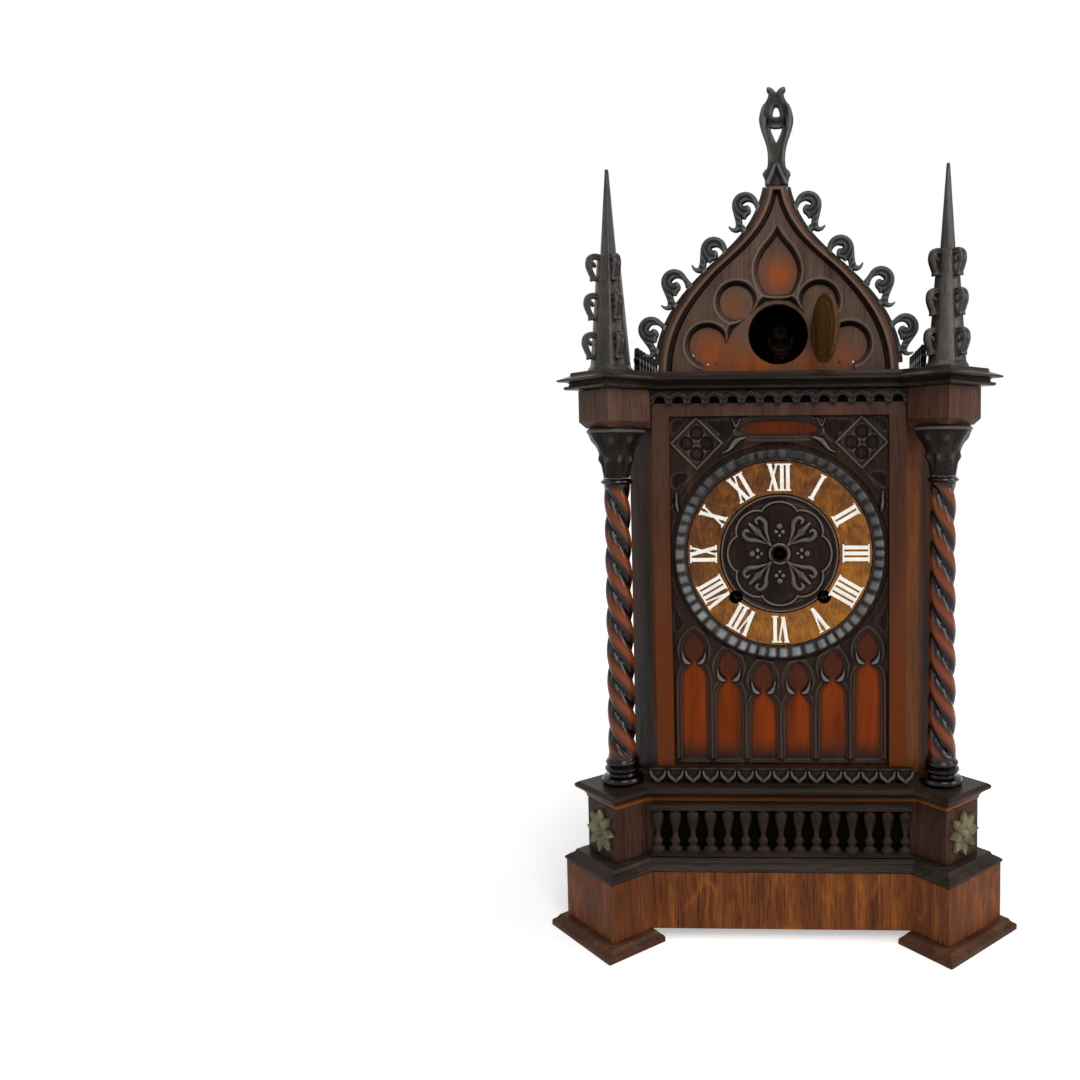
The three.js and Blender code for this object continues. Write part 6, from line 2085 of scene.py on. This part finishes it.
@dataclass
class RoofLine:
    """The arcade under the cornice, the cresting, and the corner spires with their hooked leaves."""

    arches: int = 14
    arch_half: float = 4.3
    spring: float = 2.3
    shade_strip_inset: float = 1.0
    shade_strip_gap: float = 0.04
    tooth: float = 3.9
    hook_faces: tuple[float, ...] = (-135.0, -45.0)
    hook_levels: int = 3
    hook_step: float = 31.0
    hook_first: float = 20.0
    hook_out: float = 13.4
    hook_taper: float = 2.3
    turn: float = -10.0
    outset: float = 3.0
    arris: float = 2.6
    fleurons: int = 7
    rail: float = 5.0

    def arcade(self) -> Shape:
        """A band cut into a row of small arches, with chevrons over them.

        Returns:
            The closed shape.
        """
        span = Span.of("scallop_trim")
        pitch = (span.right - span.left) / self.arches
        foot = span.bottom
        opening = united([
            oblong(-self.arch_half, self.arch_half, foot - 4, foot + self.spring),
            disc(0, foot + self.spring, self.arch_half),
        ])
        teeth = repeated(disc(0, foot + self.tooth, self.tooth), pitch, self.arches + 1)
        band = united([oblong(span.left, span.right, foot + self.tooth, span.top), teeth])
        arches = repeated(opening, pitch, self.arches)
        outline = within(without(band, arches), oblong(*span.face))
        slope = stroke([(-pitch / 2, foot + 5.4), (0, span.top - 1.4), (pitch / 2, foot + 5.4)], [HAIR] * 3)
        chevrons = repeated(slope, pitch, self.arches)

        def front(x: Array, z: Array) -> Array:
            """Depth of the chevrons, rims and tips."""
            ridge = 0.8 * bump(chevrons(x, z), 0, 1.3)
            rim = 0.7 * bump(arches(x, z), 0.9, 0.9)
            tip = 0.8 * bump(teeth(x, z), -1.6, 1.4) * step(-z, -foot - 4.4, -foot - 3)
            return span.front + 1.7 - np.maximum.reduce([ridge, rim, tip])

        return carved_board(span.face, 0.45, outline, front, level(span.back))

    def hook(self) -> Field:
        """A hooked leaf that grows out of a spire at x = 0.

        Returns:
            The outline.
        """
        arch = curved([
            (-4, 8.2, 2.2), (2.6, 8.8, 2.5), (6.9, 6.6, 2.6), (8.2, 1.4, 2.4), (6.6, -3.8, 2.1),
            (4.6, -8, 2.0), (6.2, -10.2, 1.0),
        ])
        curl = curved([(7, 3.4, 1.8), (4.4, 2.6, 1.7), (3.4, 1.2, 1.3)])
        return united([arch, curl, stroke([(5, -8.6), (-4, -9.2)], [1.9, 2.0])])

    def spire(self, bottom: float, top: float) -> Shape:
        """An eight-sided needle with hooked leaves on two of its faces, about x = y = 0.

        Args:
            bottom: height of the foot.
            top: height of the tip.

        Returns:
            Needle and leaves as one shape.
        """
        tall = top - bottom
        needle = [
            (18.2, 0), (18.4, 0.5), (18, 2.4), (16.6, 4), (16, 6), (9, 92), (8.2, 92.8), (6.4, 93.6),
            (1.5, tall - 0.6), (0.6, tall),
        ]
        corners = [math.radians(45 * (i + 0.5) + sign * self.arris) for i in range(8) for sign in (-1, 1)]
        rings = [[(r * math.cos(a), r * math.sin(a), bottom + up) for a in corners] for r, up in needle]
        leaf = self.hook()

        def swell(x: Array, z: Array) -> Array:
            """Half-thickness of a leaf."""
            edge = leaf(x, z)
            return 1.2 + 2.1 * domed(edge, 2.0) - 0.7 * bump(-edge, 1.9, 0.4)

        hook = carved_board((-6.5, 11.5, -12, 12), 0.45, leaf, *swollen(swell))
        parts = [skinned(np.array(rings))]
        for face in self.hook_faces:
            turn = Matrix.Rotation(math.radians(face), 4, "Z")
            for rank in range(self.hook_levels):
                height = bottom + self.hook_first + self.hook_step * rank
                parts.append(hook.at(self.hook_out - self.hook_taper * rank, 0, height).placed(turn))
        return joined(parts).placed(Matrix.Rotation(math.radians(self.turn), 4, "Z"))

    def cresting(self, span: Span) -> Shape:
        """A low rail with a row of beaded fleurons, running front to back.

        Args:
            span: box of the CAD node.

        Returns:
            The rail in its place.
        """
        long = span.back - span.front
        spacing = long / self.fleurons
        foot = span.bottom + self.rail
        fleuron = united([
            disc(0, foot + 1.6, 4.0), disc(0, foot + 7.6, 4.3),
            disc(-4.2, foot + 8.4, 1.9), disc(4.2, foot + 8.4, 1.9),
            stroke([(0, foot + 10), (0, foot + 13.4), (0, foot + 18.2)], [2.2, 2.4, 0.7]),
        ])
        rail = oblong(-long / 2, long / 2, span.bottom, foot)
        outline = united([rail, repeated(fleuron, spacing, self.fleurons)])
        half = (span.right - span.left) / 2

        def swell(x: Array, z: Array) -> Array:
            """Half-thickness of the fleurons."""
            return 0.45 * half + 0.55 * half * domed(outline(x, z), 2.2)

        grid = (-long / 2, long / 2, span.bottom, span.top)
        board = carved_board(grid, 0.5, outline, *swollen(swell))
        x, y, _ = span.middle
        return board.placed(Matrix.Translation((x, y, 0)) @ Matrix.Rotation(math.pi / 2, 4, "Z"))

    def build(self) -> None:
        """Makes the arcade, both crestings and both spires."""
        make_piece("carved_arcade", self.arcade(), Finish.TRIM, ["scallop_trim"], crease=60)
        # Painted shade: a near-black strip behind the arches, so that the openings look dark
        ground = shade_backing("scallop_trim", self.shade_strip_inset, self.shade_strip_gap)
        make_piece("arcade_shade_strip", ground, Finish.CLOTH)
        for side, sign in (("left", -1), ("right", 1)):
            crest = self.cresting(Span.of(f"cresting_{side}"))
            make_piece(f"beaded_cresting_{side}", crest, Finish.TRIM, [f"cresting_{side}"])
            span = Span.of(f"spire_{side}")
            x, y, _ = Span.of(f"column_{side}").middle
            needle = self.spire(span.bottom, span.top).at(x + sign * self.outset, y)
            make_piece(f"hooked_spire_{side}", needle, Finish.SPIRE, [f"spire_{side}"], crease=30)


@dataclass
class Cuckoo:
    """The carved bird on its carriage, and the mouldings of its round door."""

    door_open: float = 110.0
    door_panel: float = 21.5
    door_gap: float = 0.3
    door_thick: float = 3.4
    eye_spot: Triple = (5.9, -22.6, 10.6)
    eye_turn: float = 68.0
    beak: float = 34.5

    def body(self, middle: float, height: float) -> Shape:
        """Head, body and tail as one skin of rings along y, painted in bars underneath.

        Args:
            middle: depth y of its middle.
            height: height of its middle.

        Returns:
            The closed shape.
        """
        stations = np.array([
            (-34.3, 7.3, 0.25, 0.25), (-31, 7.5, 1.1, 1.2), (-27.4, 7.9, 2.1, 2.2),
            (-26.4, 8.2, 3.6, 3.8), (-25, 8.5, 5.4, 5.6), (-21.5, 8.5, 7.0, 7.2), (-17.5, 7.8, 7.3, 7.5),
            (-13, 5.4, 7.9, 8.2), (-6, 1.6, 10.2, 10.4), (2, -0.2, 10.9, 11.2), (10, 0.1, 9.8, 9.8),
            (17, 0.9, 6.8, 6.4), (23, 1.4, 4.7, 3.2), (29, 1.3, 4.4, 2.1), (35.6, 1.0, 4.5, 1.6),
        ])
        smooth = [flowing(stations[:, [0, column]], 4)[:, 1] for column in (1, 2, 3)]
        along = flowing(stations[:, [0, 1]], 4)[:, 0]
        angles = bearings(36)
        rise, wide, tall = (values[:, None] for values in smooth)
        rings = np.stack([
            wide * np.cos(angles),
            middle + along[:, None] + 0 * angles,
            height + rise + tall * np.sin(angles),
        ], axis=-1)
        shape = skinned(rings)
        place = shape.points[:, 1] - middle
        under = step(-(shape.points[:, 2] - height), -1, 4) * step(place, -14, -10) * step(-place, -20, -16)
        shape.tint = under * step(np.sin(2 * np.pi * place / 3.4), -0.1, 0.5)
        return shape

    def wing(self, middle: float, height: float) -> Shape:
        """The folded right wing, with ridges along its feathers.

        Args:
            middle: depth y of the body's middle.
            height: height of the body's middle.

        Returns:
            The closed shape.
        """
        outline = polygon(softened([
            (-11, 3.5), (-5, 7.6), (4, 6.6), (16, 3.4), (27, 1.2), (26, -0.6), (14, -3.2), (2, -6.4),
            (-7, -4.6),
        ]))

        def bend(x: Array, z: Array) -> Array:
            """How far the wing curves in to the body."""
            return 0.012 * (x - 1) ** 2 * step(x, 1, 4) + 0.03 * z**2

        def front(x: Array, z: Array) -> Array:
            """The ridged outer face."""
            edge = outline(x, z)
            ridges = 0.5 * np.sin(1.5 * z - 0.12 * x) * step(-edge, 0.5, 1.5)
            return bend(x, z) - 1.9 * domed(edge, 2.4) - ridges

        grid = (-12, 28, -7, 8.5)
        board = carved_board(grid, 0.45, outline, front, lambda x, z: bend(x, z) + 1.2)
        turn = Matrix.Rotation(math.pi / 2, 4, "Z")
        return board.placed(Matrix.Translation((10.2, middle, height + 1)) @ turn)

    def build(self) -> None:
        """Makes the bird, its carriage and the door's mouldings."""
        span = Span.of("cuckoo_bird")
        doorway = Doorway().height
        middle = span.front + self.beak
        body = self.body(middle, doorway)
        wing = self.wing(middle, doorway)
        bird = joined([body, wing, wing.flipped()])
        make_piece(
            "carved_bird", bird, Finish.PLUMAGE, ["cuckoo_bird"],
            body="cuckoo_bird", crease=50,
        )
        eyeball = facing_front(turned([(1.2, -0.6), (1.3, 0), (1.0, 0.6), (0.4, 0.9)], 12))
        turn = Matrix.Rotation(math.radians(self.eye_turn), 4, "Z")
        x, ahead, up = self.eye_spot
        right_eye = eyeball.placed(turn).at(x, middle + ahead, doorway + up)
        eyes = joined([right_eye, right_eye.flipped()])
        make_piece("bird_eyes", eyes, Finish.STEEL, body="cuckoo_bird")
        carriage = joined([
            block((-9, span.back - 18, span.bottom), (9, span.back, doorway - 6), 0.8),
            block((-2.4, middle, doorway - 12), (2.4, span.back - 9, doorway - 8), 0.5),
        ])
        make_piece("bird_carriage", carriage, Finish.PALE, body="cuckoo_bird")
        self.door_mouldings()

    def door_mouldings(self) -> None:
        """A raised panel on the inner face of the open door, and a ring with a knob outside."""
        way = Doorway()
        height, reach = way.height, way.reach
        inner = way.face - self.door_gap
        outer = inner - self.door_thick
        panel = self.door_panel
        inside = turned([
            (panel, 0), (panel - 0.1, 0.5), (panel - 1.2, 1.1), (panel - 2.4, 0.9), (panel - 3.4, 0.6),
            (panel - 4.2, 0.9), (6, 1.3), (0.5, 1.35),
        ], 64)
        inside = inside.placed(Matrix.Rotation(-math.pi / 2, 4, "X")).at(0, inner, height)
        ring = [(reach - 5, 0), (reach - 4.6, 1.1), (reach - 3.4, 1.5), (reach - 2.2, 1.1), (reach - 1.8, 0)]
        outside = facing_front(turned(ring, 64, closed=True)).at(0, outer, height)
        knob = facing_front(turned([(1.4, 0), (1.3, 2), (2.4, 3), (2.6, 4.2), (1.8, 5.4), (0.4, 5.8)], 20))
        knob = knob.at(-0.55 * reach, outer, height)
        opened = (
            Matrix.Translation((way.hinge_x, way.hinge_y, 0))
            @ Matrix.Rotation(math.radians(self.door_open), 4, "Z")
            @ Matrix.Translation((-way.hinge_x, -way.hinge_y, 0))
        )
        pieces = (("panel", inside, Finish.DOOR), ("ring", outside, Finish.TRIM), ("knob", knob, Finish.TRIM))
        for name, shape, finish in pieces:
            make_piece(f"door_{name}", shape.placed(opened), finish, body="bird_door")


@dataclass
class Bellows:
    """The folded leather between each pipe's board and its lid."""

    rise: float = 4.0
    rim: float = 0.7
    fold: float = 0.1
    corner: float = 1.6

    def ring(self, span: Span, inset: float, height: float) -> Array:
        """A rectangle with rounded corners at one height.

        Args:
            span: box of the pipe.
            inset: how far inside it.
            height: the ring's height.

        Returns:
            Its points.
        """
        left, right = span.left + inset, span.right - inset
        front, back = span.front + inset, span.back - inset
        turns = np.radians([0, 30, 60, 90])
        points = []
        for sign_x, sign_y, start in ((1, 1, 0), (-1, 1, 90), (-1, -1, 180), (1, -1, 270)):
            x = (right if sign_x > 0 else left) - sign_x * self.corner
            y = (back if sign_y > 0 else front) - sign_y * self.corner
            angles = turns + math.radians(start)
            points += list(zip(x + self.corner * np.cos(angles), y + self.corner * np.sin(angles)))
        return np.array([(x, y, height) for x, y in points])

    def build(self) -> None:
        """Makes both leathers."""
        for side in ("left", "right"):
            span = Span.of(f"pipe_{side}")
            lid = f"bellows_lid_{side}"
            low, high = span.top - self.rise, Span.of(lid).bottom
            section = [
                (self.rim, 0), (0.45, 0.14), (self.fold, 0.3), (0.25, 0.42), (0.36, 0.5), (0.25, 0.58),
                (self.fold, 0.7), (0.45, 0.86), (self.rim, 1), (self.rim + 0.25, 1), (0.8, 0.5),
                (self.rim + 0.25, 0),
            ]
            rings = np.array([self.ring(span, inset, low + share * (high - low)) for inset, share in section])
            skin = skinned(rings, endless=True)
            leather = make_piece(f"bellows_leather_{side}", skin, Finish.LEATHER, body=None)
            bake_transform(leather)


@dataclass
class Studio:
    """Floor, lamps, white surround and the camera at the photograph's angle."""

    image: float = 1080.0
    focal: float = 917.6
    centre_px: Point = (780.0, 530.0)
    camera: Triple = (27.6, -791.7, 393.9)
    yaw: float = -0.036
    pitch: float = 0.076
    roll: float = -0.008
    sensor: float = 36.0
    surround: float = 0.13
    aim: Triple = (0.0, 0.0, 0.35)
    floor_half: float = 6.0
    # Name, place and side in metres, and watts
    lamps: tuple[tuple[str, Triple, float, float], ...] = (
        ("key", (0.5, -1.5, 1.4), 0.9, 18), ("side", (1.75, -0.6, 0.85), 0.8, 13),
        ("fill", (-1.6, -1.1, 0.9), 0.45, 3), ("top", (0, -0.5, 2.2), 1.2, 10),
    )

    def set_camera(self) -> None:
        """Places the camera that the photograph's perspective gives."""
        yaw, pitch, roll = self.yaw, self.pitch, self.roll
        ahead = Vector((math.sin(yaw) * math.cos(pitch), math.cos(yaw) * math.cos(pitch), -math.sin(pitch)))
        right = Vector((math.cos(yaw), -math.sin(yaw), 0))
        up = right.cross(ahead)
        across = math.cos(roll) * right + math.sin(roll) * up
        above = math.cos(roll) * up - math.sin(roll) * right
        data = bpy.data.cameras.new("camera")
        data.sensor_width = self.sensor
        data.lens = self.focal / self.image * self.sensor
        data.shift_x = (self.image / 2 - self.centre_px[0]) / self.image
        data.shift_y = (self.centre_px[1] - self.image / 2) / self.image
        data.clip_start = 0.01
        eye = bpy.data.objects.new("camera", data)
        bpy.context.scene.collection.objects.link(eye)
        turn = Matrix((across, above, -ahead)).transposed().to_4x4()
        eye.matrix_world = Matrix.Translation(MM * Vector(self.camera)) @ turn
        bpy.context.scene.camera = eye

    def lamp(self, name: str, place: Triple, size: float, power: float) -> None:
        """Adds a soft square lamp that faces the middle of the clock.

        Args:
            name: the lamp's name.
            place: where it stands, in metres.
            size: its side, in metres.
            power: its power in watts.
        """
        data = bpy.data.lights.new(name, "AREA")
        data.size = size
        data.energy = power
        made = bpy.data.objects.new(name, data)
        made.location = place
        made.rotation_euler = (Vector(self.aim) - Vector(place)).to_track_quat("-Z", "Y").to_euler()
        bpy.context.scene.collection.objects.link(made)

    def set_lights(self) -> None:
        """Sets the lamps and a white surround."""
        for lamp in self.lamps:
            self.lamp(*lamp)
        bench = Bench("studio", "worlds")
        bpy.context.scene.world = bench.owner
        plain = bench.tree.nodes["Background"]
        bench.feed(plain.inputs["Color"], WHITE)
        bench.feed(plain.inputs["Strength"], self.surround)
        bright = bench.node("Background", {"Color": WHITE, "Strength": 1.0})
        shares = {0: bench.seen(), 1: plain.outputs[0], 2: bright.outputs[0]}
        mixed = bench.node("MixShader", shares).outputs[0]
        bench.feed(bench.tree.nodes["World Output"].inputs["Surface"], mixed)

    def set_floor(self) -> None:
        """Lays a wide white floor that keeps the clock's shadow and whitens with distance."""
        half = self.floor_half
        corners = [(-half, -half, 0), (half, -half, 0), (half, half, 0), (-half, half, 0)]
        mesh = bpy.data.meshes.new("floor")
        mesh.from_pydata(corners, [], [(0, 1, 2, 3)])
        bench = Bench("floor_white")
        cloud = bench.noise((3, 3, 3), 3)
        pale = bench.mix(bench.ranged(cloud, 0.3, 0.7, 0, 1), (0.9, 0.9, 0.9, 1), (0.94, 0.94, 0.94, 1))
        place = bench.node("TexCoord").outputs["Object"]
        far = bench.node("VectorMath", {0: place}, operation="LENGTH").outputs["Value"]
        glow = bench.ranged(far, 0.2, 1.0, 0.45, 1.0)
        light = bench.sum("MULTIPLY", bench.seen(), glow)
        white = bench.surface(base_color=pale, roughness=0.9, emission_color=WHITE, emission_strength=light)
        mesh.materials.append(white)
        floor = bpy.data.objects.new("floor", mesh)
        bpy.context.scene.collection.objects.link(floor)
        floor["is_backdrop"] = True

    def build(self) -> None:
        """Sets up the whole studio."""
        bpy.context.scene.view_settings.view_transform = "Standard"
        self.set_camera()
        self.set_lights()
        self.set_floor()


def main() -> None:
    """Dresses the clock piece by piece."""
    logging.basicConfig(level=logging.INFO, format="%(message)s")
    for leftover in list(bpy.data.objects):
        bpy.data.objects.remove(leftover)
    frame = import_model()
    cad_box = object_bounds()
    CaseWork().dress(frame["nodes"])
    parts = (Columns, Pedestals, TraceryPanel, Dial, Gable, RoofLine, Cuckoo, Bellows, Studio)
    for part in parts:
        part().build()
    boxes = {"cad": cad_box, "visual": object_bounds()}
    {name: [list(corner) for corner in box] for name, box in boxes.items()}


if __name__ == "__main__":
    main()
